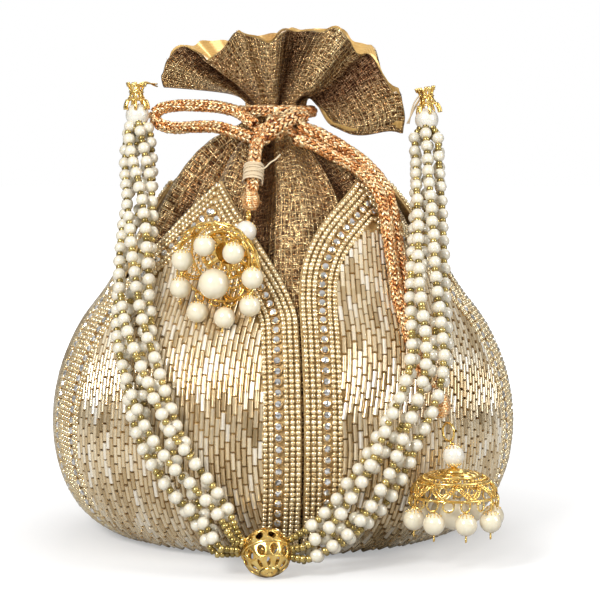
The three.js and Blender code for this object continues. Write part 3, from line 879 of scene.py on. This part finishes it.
def bugle_columns(builder, centre, arches, lean):
    """Upright bugle beads in columns, each column shifted against the next like bricks."""
    borders = {side: petal_edge(BUGLE_FIELD_EDGE, arch) for side, arch in zip((-1, 1), arches)}
    top = min(border[:, 0].max() for border in borders.values())
    lean_start = along_at(60)
    places, tones = [], []
    half_columns = 30
    for column in range(-half_columns, half_columns + 1):
        offset = column * BUGLE_PITCH
        shift = (0.5 * (column % 2) + 0.18 * math.sin(column * 0.9)) * (BUGLE_LENGTH + 0.4)
        border = borders[1 if offset > 0 else -1]
        for middle in np.arange(3.2 - shift, top, BUGLE_LENGTH + 0.4):
            ends = np.array((middle - BUGLE_LENGTH / 2, middle + BUGLE_LENGTH / 2)) + rng.normal(0, 0.12)
            ends = np.maximum(ends, 0.4)
            for _ in range(5):
                offsets = offset + lean * np.maximum(0, ends - lean_start)
                limits = np.interp(ends, border[:, 0], border[:, 1]) * radius_at(ends)
                outside = (np.abs(offsets) > limits + 0.4) | (ends > top)
                if not outside.any():
                    break
                ends = ends + np.where(outside, (0.9, -0.9), 0)
            length = ends[1] - ends[0]
            if outside.any() or length < 2.4:
                continue
            lift = PETAL_LIFT + PETAL_CLOTH + BUGLE_RADIUS * 0.85
            tilt = rng.normal(0, 0.08, 3)
            low, high = cloth_point(ends, centre + offsets / radius_at(ends), lift)
            if min(low[2], high[2]) < BUGLE_RADIUS + 0.3:
                continue
            place = placement(high - low + tilt, (high + low) / 2, rng.uniform(0, TURN))
            place[:, 2] *= length / BUGLE_LENGTH
            places.append(place)
            tones.append(rng.uniform(0, 1))
    builder.copies(BUGLE_TEMPLATE, places, "bugle", tones)


def petal_sheet(builder, centre, arches):
    """The panel's cloth: a thin closed shell in the petal's outline."""
    rows, columns = 60, 29
    along = np.linspace(0, along_at(TIP_Z) - 0.05, rows)
    z = np.interp(along, profile_along, profile_line[:, 1])
    left, right = (petal_half_angle(z, arch)[:, None] for arch in arches)
    share = np.linspace(-1, 1, columns)[None]
    azimuth = centre + np.where(share < 0, left * share, right * share)
    spread = np.repeat(along[:, None], columns, axis=1)
    outside = cloth_point(spread, azimuth, PETAL_LIFT + PETAL_CLOTH)
    inside = cloth_point(spread, azimuth, PETAL_LIFT)[:, ::-1]
    rings = np.concatenate([outside, inside], axis=1)
    builder.add(rings.reshape(-1, 3), grid_faces(rows, 2 * columns, closed=True), "petal_cloth")


def petal_border(builder, centre, side, arch):
    """The bead lines along one side of a petal: three of seeds, one of stones, two of seeds."""
    lift = PETAL_LIFT + PETAL_CLOTH
    for inset in SEED_LINES_OUTER + SEED_LINES_INNER:
        line = even_points(petal_edge(inset, arch), SEED_PITCH) * (1, side)
        beads_on_line(builder, centre, line, lift + SEED_RADIUS * 0.8, SEED_TEMPLATE, "border_seed", 0.05)
    stones = even_points(petal_edge(STONE_LINE, arch), STONE_PITCH) * (1, side)
    stones_on_line(builder, centre, stones, lift + 0.9)


def add_petals():
    for number, (azimuth, arches, lean) in enumerate(PETALS, 1):
        centre = math.radians(azimuth)
        builder = Builder()
        petal_sheet(builder, centre, arches)
        for side, arch in zip((-1, 1), arches):
            petal_border(builder, centre, side, arch)
        bugle_columns(builder, centre, arches, lean)
        put(builder.finish(f"beaded_petal_{number}"), "bag", "beadwork", f"petal_{number}")


# ---------------------------------------------------------------- drawstring

LOOP_ROUTE = [
    (-12.4, -33.5, 177.6), (-19, -28, 182.4), (-28, -23, 184.6), (-38, -17, 185.3), (-48, -10.5, 185),
    (-54, -6.5, 183.4), (-56, -5.6, 180.2), (-53, -7.5, 177.2), (-46, -12.5, 175.6), (-37, -19, 176.2),
    (-28, -25.5, 176), (-19.6, -31, 173.8), (-13.2, -35, 171.6),
]
RIGHT_TAIL_ROUTE = [
    (7.2, -36, 173.2), (14, -36.5, 171), (23, -36, 166), (33.4, -36, 159.4), (41.9, -40.7, 149.6),
    (44.9, -45.5, 138.2), (46.4, -50.8, 127.6), (48, -56.9, 117.1), (49.7, -63.6, 106.1),
    (52.6, -70.1, 95.5), (55.8, -75.6, 85.5), (59.2, -79, 77.5), (61.4, -81.6, 72.6),
]
LEFT_TAIL_ROUTE = [
    (-4.5, -35, 174.6), (-9.6, -38.8, 170), (-11, -43.5, 166.5), (-11.5, -48.2, 160.5), (-12.1, -52.2, 152.5),
    (-12.6, -55, 148.6),
]
# The real tail is two cords side by side, about twice as wide. This one cord was narrowed so that
# its length is more than the six diameters that a declared cord has to have.
LEFT_TAIL_DIAMETER = 5.4
KNOT_CENTRE = np.array((-3, -34, 175.6))
LEFT_END_CENTRE = np.array((-12.8, -57.4, 145.8))
RIGHT_END_CENTRE = np.array((63.9, -87.3, 64.6))


STITCH_TEMPLATE = lathe_template([(0.06, -0.5), (0.17, -0.22), (0.19, 0.14), (0.07, 0.5)], 5)
STITCH_PITCH, STITCH_COLUMNS, STITCH_LEAN = 2.3, 6, 0.42
STITCH_LENGTH, STITCH_SPREAD = 3.35, 0.56


def add_crochet(builder, path, diameter):
    """A round crocheted cord: columns of V stitches round a dark core, which is painted shade in the gaps
    between the stitches.
    """
    rows = resample(path, STITCH_PITCH)
    tangents, across, up = frames(rows)
    reach = diameter / 2 - 0.62
    places, tones = [], []
    for row, (centre, tangent) in enumerate(zip(rows, tangents)):
        for column in range(STITCH_COLUMNS):
            angle = TURN * (column + 0.03 * row) / STITCH_COLUMNS
            outward = across[row] * math.cos(angle) + up[row] * math.sin(angle)
            around = np.cross(tangent, outward)
            for way in (-1, 1):
                direction = tangent * math.cos(STITCH_LEAN) + around * way * math.sin(STITCH_LEAN)
                direction = direction + rng.normal(0, 0.08, 3)
                at = centre + outward * reach * rng.uniform(0.94, 1.08) + around * way * STITCH_SPREAD
                places.append(placement(direction, at, rng.uniform(0, TURN), STITCH_LENGTH))
                tones.append(rng.uniform(0, 1))
    builder.copies(STITCH_TEMPLATE, places, "copper", tones)
    add_tube(builder, resample(path, 1.5), reach * 0.86, "gap_shade_core", 6)


def across_body(points):
    """The direction square to a path and level with the body's surface, at each of its points."""
    return unit(np.cross(np.gradient(points, axis=0), unit(points * (1, 1, 0))))


def sideways(points, distance):
    points = np.asarray(points, float)
    return points + across_body(points) * distance


def declare_cord(path, with_pieces=()):
    metres = [tuple(point) for point in np.asarray(path) * MM]
    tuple(metres[0])


def tassel_knot(name, centre, radii, body, node):
    """The frayed knot at a cord's end: wound threads with loose ends."""
    builder = Builder()
    turns = 5
    count = 150
    at = np.linspace(-0.92, 0.92, count)
    angle = at * TURN * turns
    width = np.sqrt(1 - at ** 2)
    coil = np.column_stack([0.8 * width * np.cos(angle), 0.8 * width * np.sin(angle), at]) * radii
    add_tube(builder, coil + centre, 0.85, "copper", 6)
    core = ball_template(radii[0] * 0.8, 12, 8, radii[2] / radii[0])
    builder.copies(core, [placement((0, 0, 1), centre)], "copper")
    for _ in range(26):
        direction = unit(rng.normal(0, 1, 3) * (1, 1, 0.7))
        start = centre + direction * radii[0] * 0.7
        end = centre + direction * radii[0] * rng.uniform(1.05, 1.35) + (0, 0, -0.6)
        middle = (start + end) / 2 + rng.normal(0, 0.3, 3)
        add_tube(builder, smooth_path([start, middle, end], 0.6), 0.16, "copper", 4)
    return put(builder.finish(name), body, "copper_cord", node)


def add_drawstring():
    left_end = tassel_knot("left_cord_knot", LEFT_END_CENTRE, (3.8, 3.8, 4.2), "bag", "cord_end_left")
    right_end = tassel_knot("right_cord_knot", RIGHT_END_CENTRE, (4.0, 4.0, 4.8), "bag", "cord_end_right")
    add_neck_wrap()
    add_bow_knot()
    loop = smooth_path(LOOP_ROUTE)
    piece = add_cord("bow_loop_cord", loop, CORD_DIAMETER, "drawstring_loop")
    declare_cord(loop)
    for letter, side in (("a", -1), ("b", 1)):
        path = smooth_path(sideways(RIGHT_TAIL_ROUTE, side * (CORD_DIAMETER / 2 + 0.1)))
        piece = add_cord(f"right_tail_cord_{letter}", path, CORD_DIAMETER, f"drawstring_tail_right_{letter}")
        declare_cord(path, [right_end])
    path = smooth_path(LEFT_TAIL_ROUTE)
    piece = add_cord("left_tail_cord", path, LEFT_TAIL_DIAMETER, "drawstring_tail_left")
    declare_cord(path, [left_end, add_whipping()])


def add_cord(name, path, diameter, node):
    builder = Builder()
    add_crochet(builder, path, diameter)
    return put(builder.finish(name), "bag", "copper_cord", node)


def add_neck_wrap():
    """The turn of cord round the neck, which is closed, as its ends run into the knot."""
    wrap_radius = NECK_RADIUS + CORD_DIAMETER / 2 + 0.5
    centre = (NECK_X, 0, (NECK_BOTTOM + NECK_TOP) / 2 + 0.9)
    wrap = circle_path(centre, (0, 0, 1), wrap_radius, 90)
    add_cord("neck_wrap_cord", np.vstack([wrap, wrap[:1]]), CORD_DIAMETER, "drawstring_wrap")


def add_bow_knot():
    """The knot: two coils, a bar between them, and a thick turn over both."""
    builder = Builder()
    for phase, shift in ((0.0, -2.6), (0.6, 2.4)):
        angle = np.linspace(0, TURN, 40) + phase
        coil = np.column_stack([shift + 1.4 * np.sin(angle), 2.6 * np.cos(angle), 3.6 * np.sin(angle)])
        add_crochet(builder, coil + KNOT_CENTRE, CORD_DIAMETER * 0.9)
    bar = [(-7.5, 0.4, -1.5), (-3, -0.6, 0.6), (3, -0.6, 0.2), (7.5, -0.4, -1.8)]
    turn = [(12, 2, 5.2), (7.5, -2.6, 4.2), (1.5, -4.6, 0.4), (-4.5, -3.8, -4.2), (-9, 0.4, -5.6)]
    for route, share in ((bar, 0.8), (turn, 1.15)):
        add_crochet(builder, smooth_path(np.array(route) + KNOT_CENTRE), CORD_DIAMETER * share)
    put(builder.finish("bow_knot"), "bag", "copper_cord", "drawstring_knot")


def add_whipping():
    """The thread wound round the left tail, and its loose end."""
    builder = Builder()
    above, below = (np.array(LEFT_TAIL_ROUTE[k]) for k in (3, 4))
    place = placement(below - above, (above + below) / 2)
    angle = np.linspace(0, TURN * 12, 260)
    swell = 3.9 + 0.25 * np.sin(angle * 0.37)
    coil = np.column_stack([swell * np.cos(angle), swell * np.sin(angle), np.linspace(-3.7, 3.7, 260)])
    loose = [(-9.5, -54.5, 158.5), (-7.2, -55.4, 159), (-4.6, -55.2, 161.4), (-2.6, -54.6, 162.6),
             (-0.6, -54, 164.6)]
    for path in (carried(place, coil), smooth_path(loose, 0.6)):
        add_tube(builder, path, 0.33, "thread", 5)
    return put(builder.finish("thread_whipping"), "bag", "binding_thread", "tail_whipping")


# ---------------------------------------------------------------- handle

LEFT_BUNDLE_ROUTE = [
    (-62.6, -11, 173), (-61.8, -20, 160), (-60.8, -32, 147.5), (-60.6, -45, 134), (-61, -57, 118.5),
    (-60.6, -68.5, 101.5), (-58.6, -81, 88), (-55.4, -90, 76), (-52, -95.7, 64.5), (-48, -99.8, 54),
    (-43.4, -102.6, 45.5), (-38.2, -104, 37.8), (-32.4, -105.4, 30.5), (-26.6, -107, 22.6),
    (-23, -110.2, 16), (-20.6, -111.6, 12.2),
]
RIGHT_BUNDLE_ROUTE = [
    (62.4, -12, 171), (62.2, -22, 157), (61.8, -35, 144), (61, -50, 130), (59.8, -65.5, 115),
    (59.4, -77.6, 101.5), (59.4, -86.4, 91), (58, -94.4, 79.5), (53.8, -99.4, 68), (47.6, -102, 56),
    (42.8, -103.2, 46.5), (37, -104.2, 36.5), (29.6, -105.4, 27), (20.6, -107, 18.4), (12, -110.4, 13.4),
    (7.6, -111.8, 11.6),
]
HANDLE_ENDS = {  # the cap's centre and the end pearl's
    "left": ((-63.4, -10, 191), (-63, -10.2, 181.2)),
    "right": ((62.4, -10, 189), (62.4, -10.8, 179.2)),
}
END_PEARL_RADIUS = 5.1
BALL_CENTRE, BALL_RADIUS = np.array((-5.5, -112, 9.95)), 9.9


def strand_route(bundle, index):
    """One strand's path: it winds round the bundle's middle, closer at both ends."""
    route = smooth_path(bundle, 1.0)
    across = across_body(route)
    normal = np.cross(across, unit(np.gradient(route, axis=0)))
    t = np.linspace(0, 1, len(route))
    middle = np.minimum(1, np.sin(math.pi * t) * 2.2)
    width = BUNDLE_END + (BUNDLE_WIDTH - BUNDLE_END) * middle
    depth = BUNDLE_END + (BUNDLE_DEPTH - BUNDLE_END) * middle
    angle = TURN * (index / STRANDS_PER_SIDE + BUNDLE_TURNS * t)
    return route + across * (width * np.cos(angle))[:, None] + normal * (depth * np.sin(angle))[:, None]


PEARL_TEMPLATE = ball_template(HANDLE_PEARL, 14, 10, 0.96)
HANDLE_SEED_TEMPLATE = lathe_template([(0.9, -1.0), (1.5, -0.6), (1.5, 0.6), (0.9, 1.0)], 9)


def add_strand(side, index, bundle):
    path = strand_route(bundle, index - 1)
    end_pearl = np.array(HANDLE_ENDS[side][1])
    start = end_pearl + (path[0] - end_pearl) * 0.45
    finish = BALL_CENTRE + unit(path[-1] - BALL_CENTRE) * (BALL_RADIUS + 0.6)
    path = resample(np.vstack([start, path, finish]), 0.5)
    along = distance_along(path)

    def at(distance):
        point, ahead, behind = (
            np.array([np.interp(distance + step, along, path[:, axis]) for axis in range(3)])
            for step in (0, 0.8, -0.8))
        return point, ahead - behind

    pearls, seeds = [], []
    distance = 2.4 + rng.uniform(0, HANDLE_PITCH * 0.7)
    lead = np.arange(1.0, distance - 2.2, 1.9)
    seeds += [placement(at(d)[1], at(d)[0]) for d in lead]
    while distance < along[-1] - 9:
        point, direction = at(distance)
        size = rng.uniform(0.97, 1.04)
        pearls.append(placement(direction + rng.normal(0, 0.1, 3), point + rng.normal(0, 0.12, 3), 0, size))
        seed_count = 1 if rng.uniform() < 0.86 else 2
        for seed in range(seed_count):
            point, direction = at(distance + HANDLE_PEARL + 1.0 + 1.9 * seed)
            seeds.append(placement(direction + rng.normal(0, 0.15, 3), point, rng.uniform(0, 1)))
        distance += 2 * HANDLE_PEARL + 0.1 + 1.95 * seed_count
    for d in np.arange(distance - 1.4, along[-1], 1.95):
        seeds.append(placement(at(d)[1], at(d)[0]))
    tones = rng.uniform(0, 1, len(seeds))
    builder = Builder()
    builder.copies(PEARL_TEMPLATE, pearls, "pearl")
    builder.copies(HANDLE_SEED_TEMPLATE, seeds, "handle_seed", tones)
    add_tube(builder, resample(path, 2.5), 0.35, "thread", 5)
    piece = builder.finish(f"{side}_pearl_strand_{index}")
    put(piece, "handle", "bead_strand", f"handle_{side}_strand_{index}")
    declare_cord(path)


def leaf_ring(kind, width, height, count=16):
    """Points round one cell of pierced metal: its square outline, or the leaf cut in it."""
    ring = []
    for k in range(count):
        c, s = math.cos(TURN * k / count), math.sin(TURN * k / count)
        if kind == "cell":
            reach = 0.5 / max(abs(c), abs(s))
            ring.append((0.5 + c * reach, 0.5 + s * reach))
        else:
            ring.append((0.5 + width * c * abs(c) ** 0.3, 0.5 + height * s))
    return ring


def pierced_band(builder, surface, sectors, levels, hole, material="gilt", thickness=0.5, turn=0.0):
    """A row of cells with leaf holes on a turned surface.

    surface(longitude, level, lift) gives a point, levels is (low, high) and hole (width, height)."""
    for sector in range(sectors):
        layers = []
        for kind, size, lift in (("cell", 1.0, 0.0), ("leaf", 1.12, 0.1), ("leaf", 1.0, -0.1),
                                 ("leaf", 1.0, -thickness), ("cell", 1.0, -thickness)):
            ring = leaf_ring(kind, hole[0] * size, hole[1] * size)
            for u, v in ring:
                longitude = TURN * (sector + turn + u) / sectors
                layers.append(surface(longitude, levels[0] + (levels[1] - levels[0]) * v, lift))
        builder.add(np.array(layers), grid_faces(5, 16, closed=True), material)


def add_granules(builder, centres, radius, material="gilt"):
    template = ball_template(radius, 7, 5)
    builder.copies(template, [placement((0, 0, 1), centre) for centre in centres], material)


def add_ball():
    """The hollow filigree ball: leaf slots fan out from two poles, with a welt between."""
    builder = Builder()
    axis = (0.12, -0.62, -0.72)
    place = placement(axis, BALL_CENTRE)
    shell = BALL_RADIUS - 0.25

    def surface(longitude, latitude, lift):
        radius = shell + lift
        local = np.array((math.cos(latitude) * math.cos(longitude),
                          math.cos(latitude) * math.sin(longitude), math.sin(latitude)))
        return carried(place, radius * local)

    for sign in (-1, 1):
        pierced_band(builder, surface, 11, (sign * 0.06, sign * 0.62), (0.3, 0.40))
        pierced_band(builder, surface, 11, (sign * 0.62, sign * 1.12), (0.2, 0.40), turn=0.5)
        pole = lathe_template([(shell * math.cos(1.1), shell * math.sin(1.1)), (shell * 0.2, shell * 0.985),
                               (0.8, shell * 0.97), (0.8, shell * 0.8)], 22)
        builder.copies(pole, [placement(np.array(axis) * sign, BALL_CENTRE)], "gilt")
    for latitude, wire in ((0.0, 0.55), (0.62, 0.26), (-0.62, 0.26)):
        centre = place[:, 3] + place[:, 2] * shell * math.sin(latitude)
        ring = circle_path(centre, place[:, 2], shell * math.cos(latitude), 48)
        add_tube(builder, ring, wire, "gilt", 6, closed=True)
    add_granules(builder, circle_path(BALL_CENTRE, place[:, 2], BALL_RADIUS - 0.1, 54), 0.36)
    put(builder.finish("filigree_ball"), "handle", "gilt_filigree", "handle_ball")


CAP_OUTLINE = [(5.0, -7.4), (5.15, -5.6), (4.1, -3.4), (2.9, -1.0), (2.9, 0.8), (3.7, 2.8), (4.1, 4.2)]


def add_cap(side):
    """A filigree cap: claws hug the end pearl, and a small crown rises above them."""
    cap, pearl = (np.array(point, float) for point in HANDLE_ENDS[side])
    builder = Builder()
    up = np.array((0, 0, 1.0))
    lean = 0.0 if side == "left" else -0.18
    axis = placement((lean, 0, 1.0), cap)
    radii, heights = (np.array(column) for column in zip(*CAP_OUTLINE))

    def surface(longitude, height, lift):
        radius = np.interp(height, heights, radii) + lift
        return carried(axis, turned(radius, longitude, height))

    pierced_band(builder, surface, 7, (-3.2, 0.2), (0.26, 0.36), thickness=0.35)
    pierced_band(builder, surface, 7, (0.2, 3.4), (0.28, 0.34), thickness=0.35, turn=0.5)
    for k in range(7):
        angle = TURN * k / 7
        claw = [surface(angle, height, 0.1) for height in (-3.2, -4.6, -6.2, -7.4)]
        add_tube(builder, smooth_path(claw, 0.6), 0.7, "gilt", 6)
        crown = [surface(angle, height, 0.0) for height in (2.6, 3.6, 4.4)]
        add_tube(builder, smooth_path(crown, 0.5), 0.62, "gilt", 6)
    for height, wire in ((-3.2, 0.4), (0.2, 0.4), (3.4, 0.35)):
        ring = [surface(TURN * k / 28, height, 0.1) for k in range(28)]
        add_tube(builder, ring, wire, "gilt", 5, closed=True)
    put(builder.finish(f"{side}_tulip_cap"), "handle", "gilt_filigree", f"handle_{side}_cap")

    builder = Builder()
    builder.copies(ball_template(END_PEARL_RADIUS, 24, 16), [placement(up, pearl)], "white_pearl")
    beads = circle_path(pearl - up * 6.0, up, 3.0, 5)
    builder.copies(HANDLE_SEED_TEMPLATE, [placement(up, bead, 0, 1.35) for bead in beads], "handle_seed",
                   rng.uniform(0, 0.6, 5))
    put(builder.finish(f"{side}_end_pearl"), "handle", "pearl", f"handle_{side}_pearl")

    builder = Builder()
    corner = np.array((-55.2, -1.0, 194.5)) if side == "left" else np.array((54.6, -3.0, 178.0))
    start = carried(axis, (0, 0, 3.0))
    for k in range(3):
        jitter = rng.normal(0, 0.5, 3)
        middle = (start + corner) / 2 + jitter + (0, 0, 1.2)
        thread = smooth_path([start + jitter * 0.5, middle, corner + rng.normal(0, 0.4, 3)], 0.8)
        add_tube(builder, thread, 0.34, "gilt" if side == "left" else "thread", 5)
    put(builder.finish(f"{side}_corner_thread"), "bag", "binding_thread")


def add_handle():
    for side, bundle in (("left", LEFT_BUNDLE_ROUTE), ("right", RIGHT_BUNDLE_ROUTE)):
        add_cap(side)
        for index in range(1, STRANDS_PER_SIDE + 1):
            add_strand(side, index, bundle)
    add_ball()


# ---------------------------------------------------------------- jhumkas

JHUMKAS = {
    "left": {
        "rim": np.array((-25.5, -82.9, 121.5)), "mouth": np.array((-0.35, -0.87, -0.35)),
        "top_pearl": np.array((-14.6, -66.8, 133.4)), "ring": np.array((-13.6, -62.3, 139.7)),
        "ring_radius": 1.9, "ring_turn": 0.3,
    },
    "right": {
        "rim": np.array((68.6, -97.0, 30.0)), "mouth": np.array((0.0, 0.0, -1.0)),
        "top_pearl": np.array((68.4, -96.6, 45.7)), "ring": np.array((66.6, -92.8, 54.7)),
        "ring_radius": 3.6, "ring_turn": 0.6,
    },
}


def dome_radius(height):
    """The bell's outline: its radius at a height above the rim."""
    outline = [(0, 1.0), (0.28, 0.965), (0.58, 0.82), (0.82, 0.52), (0.945, 0.22), (1, 0.03)]
    heights, radii = (np.array(column) for column in zip(*outline))
    return DOME_RIM * np.interp(height / DOME_HEIGHT, heights, radii)


def add_dome(side, jhumka):
    """An openwork bell: a milgrain crown, a zigzag of double wires, and rings round the rim."""
    builder = Builder()
    axis = -unit(jhumka["mouth"])
    place = placement(axis, jhumka["rim"])

    def surface(longitude, height, lift=0.0):
        radius = dome_radius(height) + lift
        return carried(place, turned(radius, longitude, height))

    def hoop(height, wire, lift=0.0):
        ring = [surface(TURN * k / 56, height, lift) for k in range(56)]
        add_tube(builder, ring, wire, "gilt", 6, closed=True)

    hoop(0.2, 0.55)
    hoop(6.4, 0.6, 0.15)
    hoop(8.2, 0.6, 0.15)
    hoop(9.2, 0.35)
    add_granules(builder, [surface(TURN * k / 46, 7.3, 0.4) for k in range(46)], 0.58)
    add_granules(builder, [surface(TURN * k / 72, 5.7, 0.1) for k in range(72)], 0.34)
    pierced_band(builder, surface, 12, (8.2, 10.0), (0.26, 0.36), thickness=0.4)
    crown = lathe_template([(DOME_RIM * 0.36, 9.8), (3.2, 10.5), (1.4, 10.9), (1.0, 11.6)], 24)
    builder.copies(crown, [place], "gilt")
    add_zigzag(builder, surface)
    for k in range(RIM_LOOPS):
        root = surface(TURN * (k + 0.5) / RIM_LOOPS, 0.2)
        outward = root - jhumka["rim"]
        facing = outward + np.cross(axis, outward) * 0.35
        add_tube(builder, circle_path(root - axis * 1.9, facing, 2.2, 14), 0.42, "gilt", 5, closed=True)
    put(builder.finish(f"{side}_bell_dome"), f"{side}_jhumka", "gilt_filigree", f"{side}_jhumka_dome")
    add_bell_top(side, jhumka, axis)


def add_zigzag(builder, surface):
    """Double wires that go up and down round the bell, grains between them, and a scroll in each tooth."""
    def between(k, shares, shift, lift):
        low, high = (0.5, 6.0) if k % 2 else (6.0, 0.5)
        start, step = TURN * k / (TEETH * 2), TURN / (TEETH * 2)
        return [surface(start + step * t + shift, low + (high - low) * t, lift) for t in shares]

    for k in range(TEETH * 2):
        for shift in (-0.055, 0.055):
            add_tube(builder, between(k, np.linspace(0, 1, 6), shift, 0.2), 0.42, "gilt", 5)
        add_granules(builder, between(k, np.linspace(0.08, 0.92, 8), 0, 0.35), 0.36)
    turns = [TURN * t / 12 for t in range(12)]
    for k in range(TEETH):
        angle = TURN * (k + 0.5) / TEETH
        scroll = [surface(angle + 0.09 * math.cos(t), 4.0 + 1.3 * math.sin(t), 0.0) for t in turns]
        add_tube(builder, scroll, 0.26, "gilt", 5, closed=True)


def add_bell_top(side, jhumka, axis):
    """The top pearl with its gilt bead caps and wire, and the ring that hangs it."""
    builder = Builder()
    pearl = jhumka["top_pearl"]
    builder.copies(ball_template(TOP_PEARL, 20, 14), [placement(axis, pearl)], "white_pearl")
    crown_point = jhumka["rim"] + axis * DOME_HEIGHT
    gap = np.linalg.norm(crown_point - pearl)
    to_crown = unit(crown_point - pearl)
    for way in (to_crown, -to_crown):
        bead_cap(builder, pearl, way, TOP_PEARL)
    if gap > 6:
        add_tube(builder, np.linspace(pearl + to_crown * 4.0, crown_point, 4), 0.5, "gilt", 6)
    to_ring = unit(jhumka["ring"] - pearl)
    reach = np.linalg.norm(jhumka["ring"] - pearl) - jhumka["ring_radius"]
    add_tube(builder, np.linspace(pearl + to_ring * 4.2, pearl + to_ring * reach, 3), 0.4, "gilt", 6)
    put(builder.finish(f"{side}_bell_top_pearl"), f"{side}_jhumka", "pearl", f"{side}_jhumka_top_pearl")

    builder = Builder()
    normal = (math.cos(jhumka["ring_turn"]), math.sin(jhumka["ring_turn"]), 0)
    ring = circle_path(jhumka["ring"], normal, jhumka["ring_radius"], 28)
    add_tube(builder, ring, 0.5, "gilt", 8, closed=True)
    put(builder.finish(f"{side}_bell_ring"), f"{side}_jhumka", "gilt_filigree", f"{side}_jhumka_ring")


def bead_cap(builder, centre, way, radius):
    """A filigree cap on a pearl: three rings of granules and a tip."""
    for polar, count, grain in ((0.28, 5, 0.36), (0.52, 10, 0.34), (0.72, 12, 0.34)):
        middle = centre + way * (radius - 0.1) * math.cos(polar)
        add_granules(builder, circle_path(middle, way, radius * math.sin(polar), count), grain)
    add_granules(builder, [centre + way * (radius + 0.2)], 0.6)


def add_drop(side, name):
    """A pearl on its wire loop. A drop has a filigree cap below, and a clapper has none."""
    node = f"{side}_jhumka_{name}"
    points = np.array([vertex.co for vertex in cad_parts[node].data.vertices]) / MM
    clapper = name == "clapper"
    centre, down = drop_axis(points, clapper)
    radius = CLAPPER_PEARL if clapper else DROP_PEARL
    hang = CLAPPER_HANG if clapper else DROP_HANG - 1
    builder = Builder()
    builder.copies(ball_template(radius, 18, 12), [placement(down, centre)], "warm_pearl")
    if not clapper:
        bead_cap(builder, centre, down, radius)
    add_tube(builder, np.linspace(centre - down * radius, centre - down * hang, 3), 0.4, "gilt", 6)
    loop = circle_path(centre - down * hang, np.cross(down, (0.3, 0.9, 0.1)), 0.9, 12)
    add_tube(builder, loop, 0.26, "gilt", 5, closed=True)
    put(builder.finish(f"{side}_bell_{name}_pearl"), node, "pearl", node)


def drop_axis(points, clapper):
    """The pearl's centre and its downward direction, from the CAD solid's long axis."""
    middle = points.mean(axis=0)
    _, _, axes = np.linalg.svd(points - middle)
    axis = axes[0]
    along = (points - middle) @ axis
    spread = np.linalg.norm(points - middle - np.outer(along, axis), axis=1)
    wide = along[spread > spread.max() * 0.9].mean()
    down = axis if wide > (along.max() + along.min()) / 2 else -axis
    bottom = (points @ down).max()
    line = middle - down * (middle @ down)
    centre = line + down * (bottom - (CLAPPER_PEARL if clapper else DROP_BOTTOM))
    return centre, down


def add_jhumkas():
    for side, jhumka in JHUMKAS.items():
        add_dome(side, jhumka)
        add_drop(side, "clapper")
        for k in range(1, DROPS_PER_DOME + 1):
            add_drop(side, f"drop_{k}")


# ---------------------------------------------------------------- assembly

def finish_base():
    """The base panel stays as modelled, in the ground cloth of the petals."""
    base = bpy.data.objects["base_panel"]
    base.data.materials.clear()
    base.data.materials.append(MATERIALS["petal_cloth"])


make_materials()
add_camera()
add_stage()
add_drawstring()
add_handle()
add_pouch_cloth()
add_lining()
add_petals()
add_jhumkas()
finish_base()
